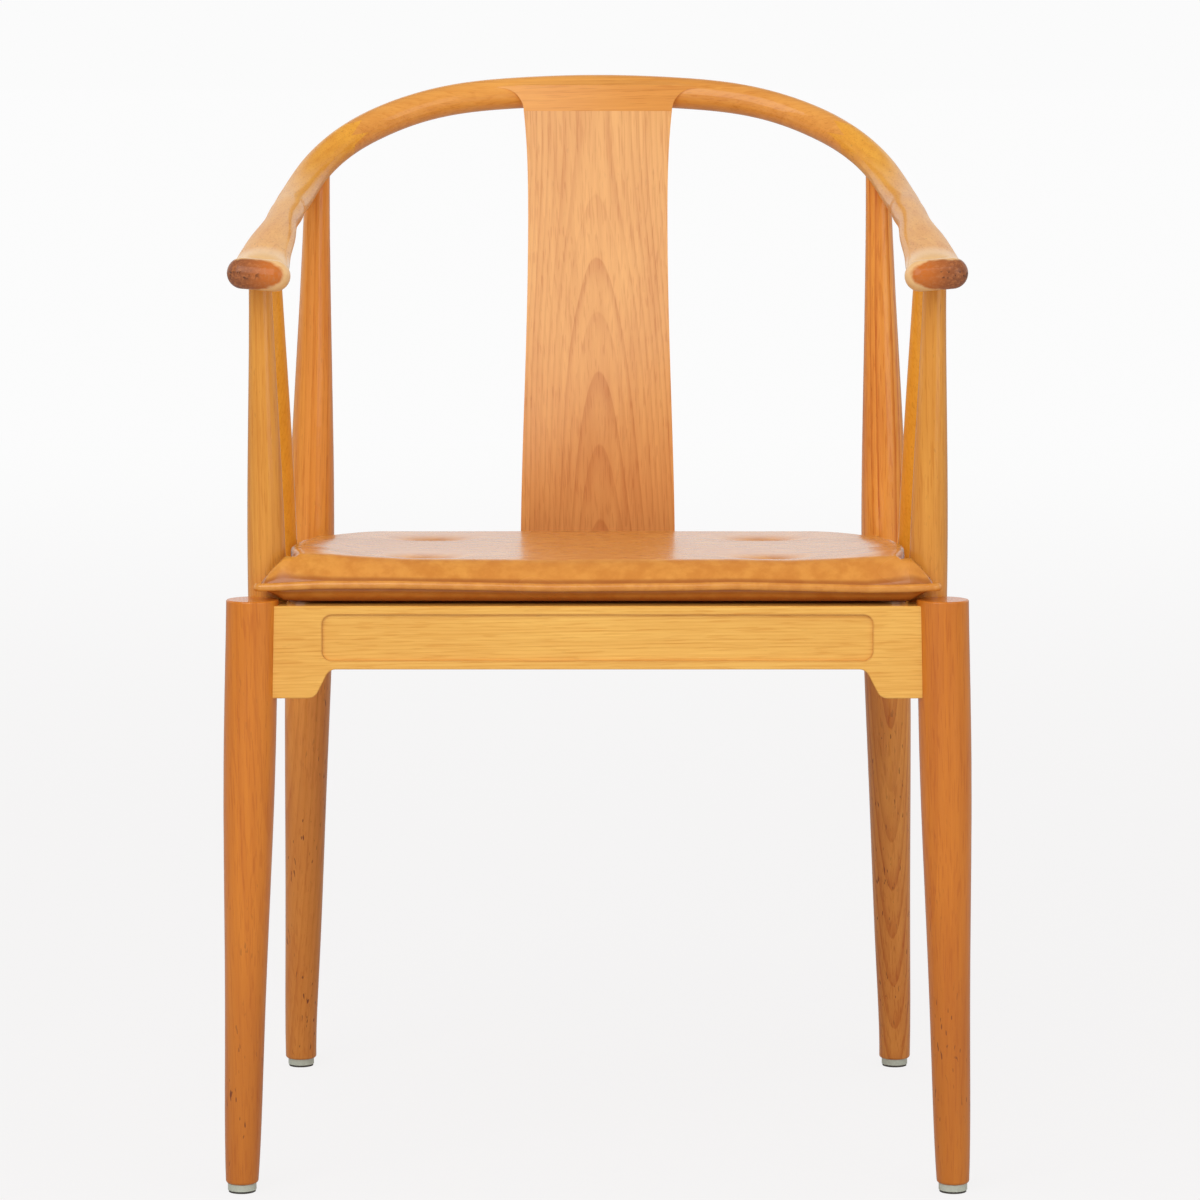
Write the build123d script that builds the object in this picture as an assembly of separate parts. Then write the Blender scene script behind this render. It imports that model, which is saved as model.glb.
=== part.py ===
from build123d import *
from math import asin, atan2, cos, degrees, radians, sin
import os

# Horseshoe back armchair in solid wood with a loose leather seat cushion.
# Millimetres. +Z is up, +Y runs from the front of the chair to its back and +X
# is the sitter's left. The origin is on the floor, at the middle of the chair.
# "back" always means a distance behind the axis of the front legs at the seat.

# ---------------------------------------------------------------- overall sizes
crest_top_height = 820.0        # floor to the top of the bow
arm_end_drop = 140.0            # top of the bow down to the middle of the arm ends
crest_back = 513.0              # front leg axis to the middle of the bow's bar
arm_reach = 24.0                # how far the arm ends come forward of the front legs
bow_half_width = 243.0          # bow's centreline at the arms, to the middle
seat_back = 409.0               # front leg axis to rear leg axis at the seat
seat_height = 437.5             # floor to the top of the front seat rail
seat_fall = 12.0                # how much lower the seat frame is at the rear legs
side_rail_half = 240.0          # half the seat's width, to a side rail's middle plane
front_leg_out = 12.0            # a front leg's axis outside that plane, at the seat
rear_leg_in = 4.8               # a rear leg's axis inside that plane, at the seat
front_foot_out = 11.5           # a front foot outside its leg's axis at the seat
rear_foot_out = 12.3            # a rear foot outside its leg's axis at the seat
rear_foot_kick = 21.0           # how far the rear feet stand behind the seat's rear legs
rear_head_kick = 4.0            # the same for the rear legs' heads, in the bow

# ---------------------------------------------------------------- wood sections
bar_diameter = 26.0             # the bow's round bar
knuckle_radius = 11.4           # the roll that ends each arm, lying across it
knuckle_half = 23.0             # half the length of that roll
knuckle_out = 1.6               # its middle outside the arm's line
knuckle_drop = 1.2              # its middle below the arm's line
knuckle_lean = 5.0              # degrees that it leans down inwards
front_leg_radius = 19.2         # front leg at the seat
front_foot_radius = 12.0        # front leg at the floor
rear_leg_radius = 19.2          # rear leg at the seat
rear_foot_radius = 12.7         # rear leg at the floor
rear_head_radius = 10.0         # rear leg where it meets the bow
leg_straight_from = 330.0       # height where the taper of each leg ends
leg_stand_up = 4.0              # front leg above the top of the seat rail
post_foot_radius = 14.3         # arm post on the side rail
post_head_radius = 8.3          # arm post under the arm
post_back = 27.0                # arm post behind the front leg's axis
post_out = 2.8                  # arm post outside the side rail's middle plane
spindle_foot_back = 200.0       # slanting spindle on the side rail
spindle_head_back = 86.0        # slanting spindle under the arm
spindle_foot_radius = 8.4       # slanting spindle on the side rail
spindle_swell_radius = 9.2      # at its thickest
spindle_head_radius = 7.0       # under the arm
rail_thickness = 26.0
rail_depth = 46.5               # front rail between its brackets
bracket_depth = 67.8            # rails at their bracket ends
bracket_flat = 28.8             # level part of a bracket, from the leg's face
bracket_slant = 10.9            # how far a bracket's end slopes inwards
bracket_corner = 8.0            # rounding of a bracket's two corners
front_rail_set_back = 9.6       # front rail's face ahead of the front leg axis
field_margin = 6.1              # sunk field to the rail's edges
field_end = 34.4                # sunk field to the leg's face
field_corner = 7.3
field_sink = 2.2
edge_round = 1.2                # broken edges of the boards
splat_thickness = 13.0
splat_foot_half = 63.0
splat_waist_half = 57.5
splat_head_half = 61.3
splat_seam_drop = 29.7          # bow's top down to the splat's head, on the crest block
block_arris_drop = 8.5          # bow's top down to the upper edge of the block's face
cove_radius = 18.6              # hollow at each end of the crest block
block_proud = 7.5               # splat's head ahead of the bow's front
block_tilt = 0.17               # lean of the block's face, as a slope
block_run_out = 20.0            # how far the block's upper edge runs on past each hollow
block_fade = 5.0                # how far that edge falls on the way
block_sink = 0.6                # block's rear edge below the bow's surface
block_behind = 3.0              # block behind the splat's rear face

# ---------------------------------------------------------------- joints and fits
glue_gap = 0.05                 # radial room round a round tenon
tenon_thickness = 8.0
tenon_shoulder = 7.0            # tenon's height is less than the rail's by this, each edge
tenon_length = 10.0
housing_depth = 1.0             # how far a rail's shoulder is let into a leg
side_tenon_out = 9.0            # front tenon of the side rail, outside its middle plane
side_tenon_length = 8.0         # the same tenon, into the front leg
round_tenon_radius = 5.0
round_tenon_length = 13.0       # into the seat rails
head_tenon_length = 10.0        # into the bow
tenon_end_gap = 0.5             # room at the end of a round tenon
shoulder_drop = 4.7             # shoulders of the uprights below the bow's line
join_lap = 1.0                  # how far a tenon runs back into its own piece
splat_tenon_thickness = 7.0
splat_tenon_length = 12.0
splat_tenon_margin = 12.0

# ---------------------------------------------------------------- seat panel
panel_thickness = 9.0
panel_gap = 0.6                 # room round the loose seat panel
block_leg = 48.0                # corner block along each rail
block_height = 28.0
block_nose = 12.0               # corner block's blunt ends
block_screw_in = 38.0           # its screws, from the rails' corner
panel_screw_in = 13.0           # its screw into the seat panel, the same
batten_width = 16.0
batten_height = 18.0
batten_length = 220.0
batten_screw_in = 33.0          # batten's screws from its ends
screw_radius = 1.9
screw_head_radius = 3.8
screw_head_height = 2.4
screw_length = 26.0
panel_screw_length = 32.0

# ---------------------------------------------------------------- glides
pad_radius = 10.0
pad_height = 1.6
glide_base_radius = 10.6
glide_base_height = 5.0
nail_radius = 1.3
nail_head_radius = 3.2
nail_head_height = 1.0
nail_length = 16.0
foot_round = 2.2

# ---------------------------------------------------------------- loose cushion
cushion_side_in = 10.8          # side of the cushion inside the side rail's middle plane
ear_in = 1.5                    # front corners inside the front legs' axes
cushion_front = 13.0            # front edge ahead of the front leg axis
cushion_rear_gap = 6.0          # rear edge to the rear legs
seam_lift = 14.0                # seam above the seat panel
crown_lift = 32.5               # top of the cushion above the seat frame, at the front
crown_fall = 7.5                # how much thinner the cushion is at its rear
crown_inset = 15.0              # slope of the top leather in from the welt's face
base_inset = 12.0               # slope of the bottom leather in from the welt's face
seam_inset = 0.8                # leather's edge behind the welt's face
leather_thickness = 1.6
welt_diameter = 6.0
cushion_air = 0.5               # room between the cushion and the wood
ear_air = 1.7                   # room between an ear's rear edge and the arm post
notch_air = 6.0                 # room behind the arm post
tuft_half = 130.0               # tufts to the middle of the seat
tuft_front_back = 70.0
tuft_rear_back = 300.0
tuft_thread_radius = 1.0
ear_slant = 6.0                 # how much narrower each ear is at its rear
ear_run = 2.0                   # slope of an ear's tip, to that of the other edges
ear_shrink = 0.4                # slope of an ear's rear edge, to the same

# ---------------------------------------------------------------- places worked out
bar_radius = bar_diameter / 2
front_leg_y = (arm_reach - crest_back - bar_radius) / 2
front_axis_half = side_rail_half + front_leg_out
rear_axis_half = side_rail_half - rear_leg_in
front_foot_half = front_axis_half + front_foot_out
rear_foot_half = rear_axis_half + rear_foot_out
cushion_half = side_rail_half - cushion_side_in
ear_half = front_axis_half - ear_in
crest_height = crest_top_height - bar_radius
splat_seam_height = crest_top_height - splat_seam_drop
block_arris_height = crest_top_height - block_arris_drop
slope = degrees(atan2(seat_fall, seat_back))
foot_height = pad_height + glide_base_height
front_rail_back = rail_thickness - front_rail_set_back
rear_rail_front = seat_back - rail_thickness / 2
side_rail_inner = side_rail_half - rail_thickness / 2
far = 2000.0                    # larger than the chair, for trimming blocks
on_base = (Align.CENTER, Align.CENTER, Align.MIN)

# The seat's own frame: its top plane starts at the front rail and falls to the rear.
seat_plane = Plane(
    origin=(0, front_leg_y, seat_height),
    x_dir=(1, 0, 0),
    z_dir=(0, sin(radians(slope)), cos(radians(slope))),
)


def seat_top(back):
    """Height of the seat frame's top at a distance behind the front legs."""
    return seat_height - seat_fall * back / seat_back


def blend(low, high, share):
    return low + (high - low) * share


def place(x, back, z):
    """A point given by its distance behind the front leg axis."""
    return Vector(x, front_leg_y + back, z)


def slab(x_low, x_high, back_low, back_high, z_low, z_high):
    """A box between two corners."""
    size = (x_high - x_low, back_high - back_low, z_high - z_low)
    middle = place((x_low + x_high) / 2, (back_low + back_high) / 2, (z_low + z_high) / 2)
    return Pos(middle) * Box(*size)


def mirrored(solid):
    return mirror(solid, about=Plane.YZ)


above_seat = seat_plane * Pos(0, 0, far / 2) * Box(far, far, far)

# ---------------------------------------------------------------- the bow's line
# Each station of the half bow, from the middle of the crest to the middle of the
# right arm's knuckle: share of the half width, share of the depth, share of the
# fall, and the bar's width and height as shares of its diameter. The arm is
# thinner and narrower at its neck, where it runs into the knuckle.
bow_depth = crest_back + arm_reach - knuckle_radius
bow_fall = arm_end_drop - bar_radius
bow_stations = [
    (0.000, 0.0000, 0.0000, 1.00, 1.00),
    (0.062, 0.0003, 0.0008, 1.00, 1.00),
    (0.185, 0.0029, 0.0070, 1.01, 0.99),
    (0.354, 0.0114, 0.0260, 0.99, 0.98),
    (0.519, 0.0267, 0.0680, 0.98, 0.96),
    (0.667, 0.0514, 0.1470, 0.97, 0.96),
    (0.781, 0.0857, 0.2430, 0.96, 0.97),
    (0.869, 0.1294, 0.3520, 0.95, 0.96),
    (0.937, 0.1923, 0.4820, 0.95, 0.97),
    (0.969, 0.2608, 0.5810, 0.97, 0.98),
    (0.986, 0.3484, 0.6580, 0.97, 0.98),
    (0.992, 0.4626, 0.7100, 0.94, 0.97),
    (0.994, 0.5863, 0.7580, 0.94, 0.96),
    (0.993, 0.7101, 0.8170, 1.09, 0.94),
    (0.999, 0.8148, 0.8760, 1.32, 0.93),
    (1.002, 0.8909, 0.9230, 1.43, 0.91),
    (1.002, 0.9480, 0.9580, 1.53, 0.89),
    (0.999, 1.0000, 1.0000, 1.48, 0.77),
]


def bow_point(station):
    across, depth, fall = station[0], station[1], station[2]
    return place(across * bow_half_width, crest_back - depth * bow_depth, crest_height - fall * bow_fall)


def bow_section(index):
    """The bar's oval section across its line at one station."""
    points = [bow_point(station) for station in bow_stations]
    along = points[min(index + 1, len(points) - 1)] - points[max(index - 1, 0)]
    if index == 0:
        along = Vector(1, 0, 0)
    if index == len(points) - 1:
        along = Vector(0, -1, 0)
    plane = Plane(origin=points[index], x_dir=along.cross(Vector(0, 0, 1)), z_dir=along)
    width, height = bow_stations[index][3], bow_stations[index][4]
    return plane * Ellipse(width * bar_radius, height * bar_radius)


def half_bow():
    """The bow's right half as one bar, with the knuckle at its arm end."""
    bar = loft([bow_section(index) for index in range(len(bow_stations))])
    straight = knuckle_half - knuckle_radius
    roll = Rot(Y=90) * Cylinder(knuckle_radius, 2 * straight)
    roll += Pos(straight, 0, 0) * Sphere(knuckle_radius)
    roll += Pos(-straight, 0, 0) * Sphere(knuckle_radius)
    middle = bow_point(bow_stations[-1])
    return bar + Pos(middle.X + knuckle_out, middle.Y, middle.Z - knuckle_drop) * Rot(Y=-knuckle_lean) * roll


half_line = Spline(*[bow_point(station) for station in bow_stations])


def on_bow(back):
    """The point of the right half of the bow's line at a distance behind the legs."""
    low, high = 0.0, 1.0
    while high - low > 1e-6:
        middle = (low + high) / 2
        if half_line.position_at(middle).Y > front_leg_y + back:
            low = middle
        else:
            high = middle
    return half_line.position_at(low)


# ---------------------------------------------------------------- turned members
def turned(foot, head, stations, below=0.0, grow=0.0):
    """A round member from foot to head; stations are (share of length, radius)."""
    axis = head - foot
    length = axis.length
    side = [(radius + grow, share * length) for share, radius in stations]
    with BuildSketch(Plane.XZ) as half:
        with BuildLine():
            Spline(*side)
            Line(side[-1], (0, side[-1][1]))
            Line((0, side[-1][1]), (0, -below))
            Line((0, -below), (side[0][0], -below))
            Line((side[0][0], -below), side[0])
        make_face()
    body = revolve(half.sketch, axis=Axis.Z)
    return Plane(origin=foot, z_dir=axis) * body


def round_tenon(point, direction, length, grow=0.0):
    plane = Plane(origin=point, z_dir=direction)
    tenon = Cylinder(round_tenon_radius + grow, length, align=on_base)
    return plane * tenon


def seat_member(foot, head, stations):
    """A member that stands on the seat frame, with its tenons, and its cutters."""
    axis = (head - foot).normalized()
    below = 2 * stations[0][1]
    body = turned(foot, head, stations, below) & above_seat
    depth = round_tenon_length + stations[0][1] / 2
    solid = body + round_tenon(foot, -axis, depth) + round_tenon(head, axis, head_tenon_length)
    rail_cut = round_tenon(foot, -axis, depth + tenon_end_gap, glue_gap)
    arm_cut = turned(foot, head, stations, below, glue_gap)
    arm_cut += round_tenon(head, axis, head_tenon_length + tenon_end_gap, glue_gap)
    return solid, rail_cut, arm_cut


def leg_loft(line, stations, grow=0.0):
    """A leg through level circles; line gives its axis point at a height."""
    circles = [Plane(origin=line(z)) * Circle(radius + grow) for z, radius in stations]
    return loft(circles)


def rounded_foot(leg):
    edge = leg.edges().sort_by(Axis.Z)[0]
    return fillet(edge, foot_round)


# ---------------------------------------------------------------- front legs
front_top = seat_height + leg_stand_up
front_lean = (front_foot_half - front_axis_half) / seat_height


def front_line(z):
    return place(front_axis_half + front_lean * (seat_height - z), 0, z)


def lower_stations(foot_radius, leg_radius, taper):
    """Heights and radii of a leg's taper; taper gives shares of height and growth."""
    return [
        (blend(foot_height, leg_straight_from, share), blend(foot_radius, leg_radius, growth))
        for share, growth in taper
    ]


front_taper = [(0.0, 0.0), (0.33, 0.36), (0.68, 0.71), (1.0, 0.99)]
front_stations = lower_stations(front_foot_radius, front_leg_radius, front_taper)
front_stations += [((leg_straight_from + front_top) / 2, front_leg_radius), (front_top, front_leg_radius)]
front_leg = rounded_foot(leg_loft(front_line, front_stations))
front_leg = fillet(front_leg.edges().sort_by(Axis.Z)[-1], edge_round)

# ---------------------------------------------------------------- rear legs
rear_head = on_bow(seat_back + rear_head_kick)
rear_shoulder = rear_head.Z - shoulder_drop
rear_lean = (rear_head.Y - front_leg_y) - seat_back
rear_splay = (rear_foot_half - rear_axis_half) / seat_top(seat_back)


def rear_line(z):
    seat_z = seat_top(seat_back)
    if z < seat_z:
        back = seat_back + rear_foot_kick * (1 - z / seat_z) ** 2
        return place(rear_axis_half + rear_splay * (seat_z - z), back, z)
    share = (z - seat_z) / (rear_shoulder - seat_z)
    x = blend(rear_axis_half, rear_head.X, share)
    return place(x, seat_back + rear_lean * share ** 2, z)


rear_taper = [(0.0, 0.0), (0.33, 0.32), (0.68, 0.66), (1.0, 0.97)]
head_taper = [(0.03, 0.0), (0.25, 0.17), (0.5, 0.48), (0.75, 0.79), (1.0, 1.0)]
rear_stations = lower_stations(rear_foot_radius, rear_leg_radius, rear_taper)
rear_stations += [
    (blend(seat_top(seat_back), rear_shoulder, share), blend(rear_leg_radius, rear_head_radius, growth))
    for share, growth in head_taper
]
head_point = rear_line(rear_shoulder)
upright = Vector(0, 0, 1)
rear_leg = rounded_foot(leg_loft(rear_line, rear_stations))
rear_leg += round_tenon(head_point, upright, head_tenon_length)
rear_head_cut = leg_loft(rear_line, rear_stations[-3:], glue_gap)
rear_head_cut += round_tenon(head_point, upright, head_tenon_length + tenon_end_gap, glue_gap)

# ---------------------------------------------------------------- arm posts and spindles
post_x = side_rail_half + post_out
post_foot = place(post_x, post_back, seat_top(post_back))
post_head = on_bow(post_back) + Vector(post_out, 0, -shoulder_drop)
post_stations = [(0.0, 1.0), (0.18, 0.92), (0.32, 0.79), (0.62, 0.39), (0.80, 0.15), (1.0, 0.0)]
post_radii = [(share, blend(post_head_radius, post_foot_radius, size)) for share, size in post_stations]
arm_post, post_rail_cut, post_arm_cut = seat_member(post_foot, post_head, post_radii)

spindle_foot = place(side_rail_half, spindle_foot_back, seat_top(spindle_foot_back))
spindle_head = on_bow(spindle_head_back) - Vector(0, 0, shoulder_drop)
spindle_radii = [
    (0.0, spindle_foot_radius),
    (0.4, spindle_swell_radius),
    (0.75, blend(spindle_head_radius, spindle_swell_radius, 0.4)),
    (1.0, spindle_head_radius),
]
arm_spindle, spindle_rail_cut, spindle_arm_cut = seat_member(spindle_foot, spindle_head, spindle_radii)

# ---------------------------------------------------------------- seat rails
def rail_outline(face_half, reach):
    """Outline of a rail between two leg faces, its ends running on past them."""
    low = -bracket_depth
    edge = -rail_depth
    flat = face_half - bracket_flat
    slant = flat - bracket_slant
    with BuildSketch() as outline:
        with BuildLine():
            right = [(0, 0), (face_half + reach, 0), (face_half + reach, low), (flat, low)]
            Polyline(*right, (slant, edge), (0, edge), (0, 0))
        make_face()
        corners = [v for v in outline.vertices() if abs(v.X - flat) < 0.1 or abs(v.X - slant) < 0.1]
        fillet(corners, bracket_corner)
        mirror(about=Plane.YZ)
    return outline.sketch


def rail_field(face_half):
    width = 2 * (face_half - field_end)
    height = rail_depth - 2 * field_margin
    return Pos(0, -rail_depth / 2, 0) * RectangleRounded(width, height, field_corner)


def board(plane, face_half, reach):
    """A rail as a board: outline and sunk field drawn on its outer face."""
    body = extrude(plane * rail_outline(face_half, reach), amount=-rail_thickness)
    outer = body.faces().sort_by(lambda face: (face.center() - plane.origin).dot(plane.z_dir))[-1]
    body = chamfer(outer.edges(), edge_round / 2)
    sunk = extrude(plane * rail_field(face_half), amount=-field_sink)
    return body - sunk


def tenon_block(x_low, x_high, back_low, back_high, top):
    bottom = top - bracket_depth + tenon_shoulder
    return slab(x_low, x_high, back_low, back_high, bottom, top - tenon_shoulder)


def front_seat_rail():
    plane = Plane(origin=place(0, -front_rail_set_back, seat_height), x_dir=(1, 0, 0), z_dir=(0, -1, 0))
    leg_face = front_axis_half - (front_leg_radius ** 2 - front_rail_set_back ** 2) ** 0.5
    end = front_axis_half - (front_leg_radius ** 2 - front_rail_back ** 2) ** 0.5 + housing_depth
    rail = board(plane, leg_face, end - leg_face)
    middle = front_rail_back - rail_thickness / 2
    low, high = middle - tenon_thickness / 2, middle + tenon_thickness / 2
    reach = end + tenon_length
    tenon = tenon_block(end - join_lap, reach, low, high, seat_height)
    return rail + tenon + mirrored(tenon)


def rear_seat_rail():
    top = seat_top(seat_back)
    plane = Plane(origin=place(0, seat_back + rail_thickness / 2, top), x_dir=(-1, 0, 0), z_dir=(0, 1, 0))
    chord = (rear_leg_radius ** 2 - (rail_thickness / 2) ** 2) ** 0.5
    end = rear_axis_half - chord + housing_depth
    rail = board(plane, rear_axis_half - chord, housing_depth)
    low, high = seat_back - tenon_thickness / 2, seat_back + tenon_thickness / 2
    reach = end + tenon_length
    tenon = tenon_block(end - join_lap, reach, low, high, top)
    return rail + tenon + mirrored(tenon)


def side_seat_rail():
    """The right side rail; it slopes with the seat and ends on upright planes."""
    outer = side_rail_half + rail_thickness / 2
    rear_face = seat_back - (rear_leg_radius ** 2 - (rear_axis_half - outer) ** 2) ** 0.5
    front_end = front_rail_back
    rear_end = rear_face + housing_depth
    middle = (front_end + rear_face) / 2
    tilt = radians(slope)
    plane = Plane(
        origin=place(outer, middle, seat_top(middle)),
        x_dir=(0, cos(tilt), -sin(tilt)),
        z_dir=(1, 0, 0),
    )
    rail = board(plane, (rear_face - front_end) / 2, bracket_flat)
    rail &= slab(0, far, front_end, rear_end, 0, far)
    half = tenon_thickness / 2
    front_middle = side_rail_half + side_tenon_out
    front_tenon = tenon_block(
        front_middle - half, front_middle + half, front_end - side_tenon_length, front_end + join_lap,
        seat_height,
    )
    rear_tenon = tenon_block(
        side_rail_half - half, side_rail_half + half, rear_end - join_lap, rear_end + tenon_length,
        seat_top(seat_back),
    )
    return rail + front_tenon + rear_tenon


front_rail = front_seat_rail()
rear_rail = rear_seat_rail()
side_rail = side_seat_rail()

# ---------------------------------------------------------------- back splat
# The splat's front face from the seat rail up to the crest block, as shares of its
# height and of its lean, and its edge as shares of its height and of its narrowing.
splat_bend = [(0.0, 0.0), (0.204, 0.078), (0.478, 0.344), (0.753, 0.717), (1.0, 1.0)]
splat_foot_height = seat_top(seat_back)
splat_foot_back = seat_back - splat_thickness / 2
splat_head_back = crest_back - bar_radius - block_proud


def splat_height(share):
    return blend(splat_foot_height, splat_seam_height, share)


def splat_side():
    """The splat's bent section, seen from the side, as a board of its thickness."""
    face = [
        (front_leg_y + blend(splat_foot_back, splat_head_back, lean), splat_height(share))
        for share, lean in splat_bend
    ]
    rear = [(y + splat_thickness, z) for y, z in face]
    with BuildSketch(Plane.YZ) as side:
        with BuildLine():
            Spline(*face)
            Line(face[-1], rear[-1])
            Spline(*reversed(rear))
            Line(rear[0], face[0])
        make_face()
    return extrude(side.sketch, amount=far / 2, both=True)


def splat_front():
    """The splat's outline seen from the front, with hollowed edges."""
    edge = [
        (splat_foot_half, splat_foot_height),
        (blend(splat_foot_half, splat_waist_half, 0.60), splat_height(0.40)),
        (splat_waist_half, splat_height(0.79)),
        (blend(splat_waist_half, splat_head_half, 0.35), splat_height(0.92)),
        (splat_head_half, splat_seam_height),
    ]
    with BuildSketch(Plane.XZ) as outline:
        with BuildLine():
            Spline(*edge)
            Line(edge[-1], (0, splat_seam_height))
            Line((0, splat_seam_height), (0, splat_foot_height))
            Line((0, splat_foot_height), edge[0])
        make_face()
        mirror(about=Plane.YZ)
    return extrude(outline.sketch, amount=far / 2, both=True)


def splat_tenon(back, low, high):
    half = splat_waist_half - splat_tenon_margin
    side = splat_tenon_thickness / 2
    return slab(-half, half, back - side, back + side, low, high)


splat = splat_side() & splat_front()
splat += splat_tenon(seat_back, splat_foot_height - splat_tenon_length, splat_foot_height + join_lap)
splat_head_middle = splat_head_back + splat_thickness / 2
splat += splat_tenon(splat_head_middle, splat_seam_height - join_lap, splat_seam_height + splat_tenon_length)

# ---------------------------------------------------------------- crest and arms
def bow_at(x):
    """The point of the right half of the bow's line at a distance from the middle."""
    low, high = 0.0, 0.5
    while high - low > 1e-6:
        middle = (low + high) / 2
        if half_line.position_at(middle).X < x:
            low = middle
        else:
            high = middle
    return half_line.position_at(low)


def block_section(x):
    """The crest block's section at a distance from the middle."""
    centre = bow_at(abs(x))
    low_y = front_leg_y + splat_head_back
    past = max(0.0, abs(x) - splat_head_half) / (cove_radius + block_run_out)
    top_z = block_arris_height - block_fade * past ** 2
    top_y = low_y + block_tilt * (top_z - splat_seam_height)
    reach = Vector(0, centre.Y - top_y, centre.Z - top_z)
    rise = asin(min(bar_radius / reach.length, 1.0)) - atan2(-reach.Z, reach.Y)
    length = max(reach.length ** 2 - bar_radius ** 2, 0.0) ** 0.5
    points = [
        (low_y, splat_seam_height),
        (top_y, top_z),
        (top_y + length * cos(rise), top_z + length * sin(rise) - block_sink),
        (centre.Y, centre.Z),
        (low_y + splat_thickness + block_behind, splat_seam_height),
    ]
    with BuildSketch(Plane.YZ.offset(x)) as section:
        with BuildLine():
            Polyline(*points, close=True)
        make_face()
    return section.sketch


def crest_block():
    """The block under the bow that carries the splat, flat in front, coved at its ends."""
    hollow = splat_head_half + cove_radius
    half = hollow + block_run_out
    places = [0, splat_head_half / 2, splat_head_half, hollow, (hollow + half) / 2, half]
    places = [-x for x in reversed(places[1:])] + places
    block = loft([block_section(x) for x in places], ruled=True)
    for sign in (-1, 1):
        block -= Pos(sign * hollow, 0, splat_seam_height) * Rot(X=90) * Cylinder(cove_radius, far)
        under = slab(hollow, hollow + far, -far, far, 0, splat_seam_height + cove_radius)
        block -= under if sign > 0 else mirrored(under)
    return block


# The scarf joint's zig-zag seen from the chair's middle, from the bow's top to its
# underside: along the bow towards the arm and up, both in bar radii.
scarf_share = 0.096             # its place, as a share of the bow's depth
scarf_steps = [(1.08, 1.0), (-0.13, 0.83), (1.38, 0.45), (0.02, 0.07), (1.46, -0.16), (1.48, -1.0)]


def scarf_zone():
    """All that lies on the right arm's side of its zig-zag scarf joint."""
    middle = on_bow(crest_back - scarf_share * bow_depth)
    ahead = on_bow(crest_back - scarf_share * bow_depth + join_lap)
    along = (middle - ahead).normalized()
    steps = [(bar_radius * x, bar_radius * y) for x, y in scarf_steps]
    outline = [(steps[0][0], far / 2)] + steps + [(steps[-1][0], -far / 2)]
    outline += [(far / 2, -far / 2), (far / 2, far / 2)]
    with BuildSketch(Plane(origin=middle, x_dir=along, z_dir=along.cross(upright))) as side:
        with BuildLine():
            Polyline(*outline, close=True)
        make_face()
    return extrude(side.sketch, amount=far / 2, both=True)


right_bow = half_bow()
right_zone = scarf_zone()
arm_rail = right_bow & right_zone
arm_rail -= post_arm_cut
arm_rail -= spindle_arm_cut
arm_rail -= rear_head_cut
crest_half = right_bow - right_zone
crest_rail = crest_half + mirrored(crest_half) + crest_block()
crest_rail -= splat

# ---------------------------------------------------------------- fastening the parts
rear_rail -= splat
side_rail -= post_rail_cut
side_rail -= spindle_rail_cut
front_leg -= front_rail
front_leg -= side_rail
front_leg -= post_arm_cut & above_seat
arm_post -= front_rail
rear_leg -= rear_rail
rear_leg -= side_rail

# ---------------------------------------------------------------- screws, blocks, panel
def screw(length):
    """A countersunk screw along +Z, its head's face at the origin."""
    head = Cone(screw_head_radius, screw_radius, screw_head_height, align=on_base)
    return head + Cylinder(screw_radius, length, align=on_base)


def set_screw(point, direction, length):
    return Plane(origin=point, z_dir=direction) * screw(length)


def seat_place(x, back, drop):
    """A point of the sloping seat: behind the front legs, below its top plane."""
    return seat_plane.from_local_coords((x, back / cos(radians(slope)), -drop))


def corner_block(front):
    """One right-hand corner block under the seat panel, and its screws."""
    inner = side_rail_inner
    edge = front_rail_back if front else rear_rail_front
    inward = 1 if front else -1
    corner = (inner, edge)
    along_side = (inner, edge + inward * block_leg)
    along_end = (inner - block_leg, edge)
    points = [
        corner,
        along_side,
        (inner - block_nose, edge + inward * block_leg),
        (inner - block_leg, edge + inward * block_nose),
        along_end,
    ]
    level = Plane(origin=place(0, 0, seat_top(seat_back) - far / 4))
    with BuildSketch(level) as plan:
        with BuildLine():
            Polyline(*points, close=True)
        make_face()
    column = extrude(plan.sketch, amount=far / 2)
    middle = Pos(0, 0, -panel_thickness - block_height / 2)
    layer = seat_plane * middle * Box(far, far, block_height)
    block = column & layer
    deep = panel_thickness + block_height / 2
    into_side = set_screw(
        seat_place(inner - block_nose, edge + inward * block_screw_in, deep), (1, 0, 0), screw_length
    )
    into_end = set_screw(
        seat_place(inner - block_screw_in, edge + inward * block_nose, deep), (0, -inward, 0), screw_length
    )
    lift = set_screw(
        seat_place(inner - panel_screw_in, edge + inward * panel_screw_in, panel_thickness + block_height),
        seat_plane.z_dir, panel_screw_length,
    )
    return block, [into_side, into_end], lift


def side_batten():
    """The right-hand batten that carries the seat panel, and its screws."""
    middle = (front_rail_back + rear_rail_front) / 2
    x_middle = side_rail_inner - batten_width / 2
    place_batten = Pos(x_middle, middle, -panel_thickness - batten_height / 2)
    batten = seat_plane * place_batten * Box(batten_width, batten_length, batten_height)
    screws = []
    for sign in (-1, 1):
        back = middle + sign * (batten_length / 2 - batten_screw_in)
        point = seat_place(side_rail_inner - batten_width, back, panel_thickness + batten_height / 2)
        screws.append(set_screw(point, (1, 0, 0), screw_length))
    return batten, screws


def seat_panel():
    half = side_rail_inner - panel_gap
    front = front_rail_back + panel_gap
    rear = rear_rail_front - panel_gap
    board_place = Pos(0, (front + rear) / 2, -panel_thickness / 2)
    panel = seat_plane * board_place * Box(2 * half, rear - front, panel_thickness)
    notch = rear_leg_radius + panel_gap
    for sign in (-1, 1):
        middle = sign * rear_axis_half
        panel -= slab(middle - notch, middle + notch, seat_back - notch, seat_back + notch, 0, far)
    return panel


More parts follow.
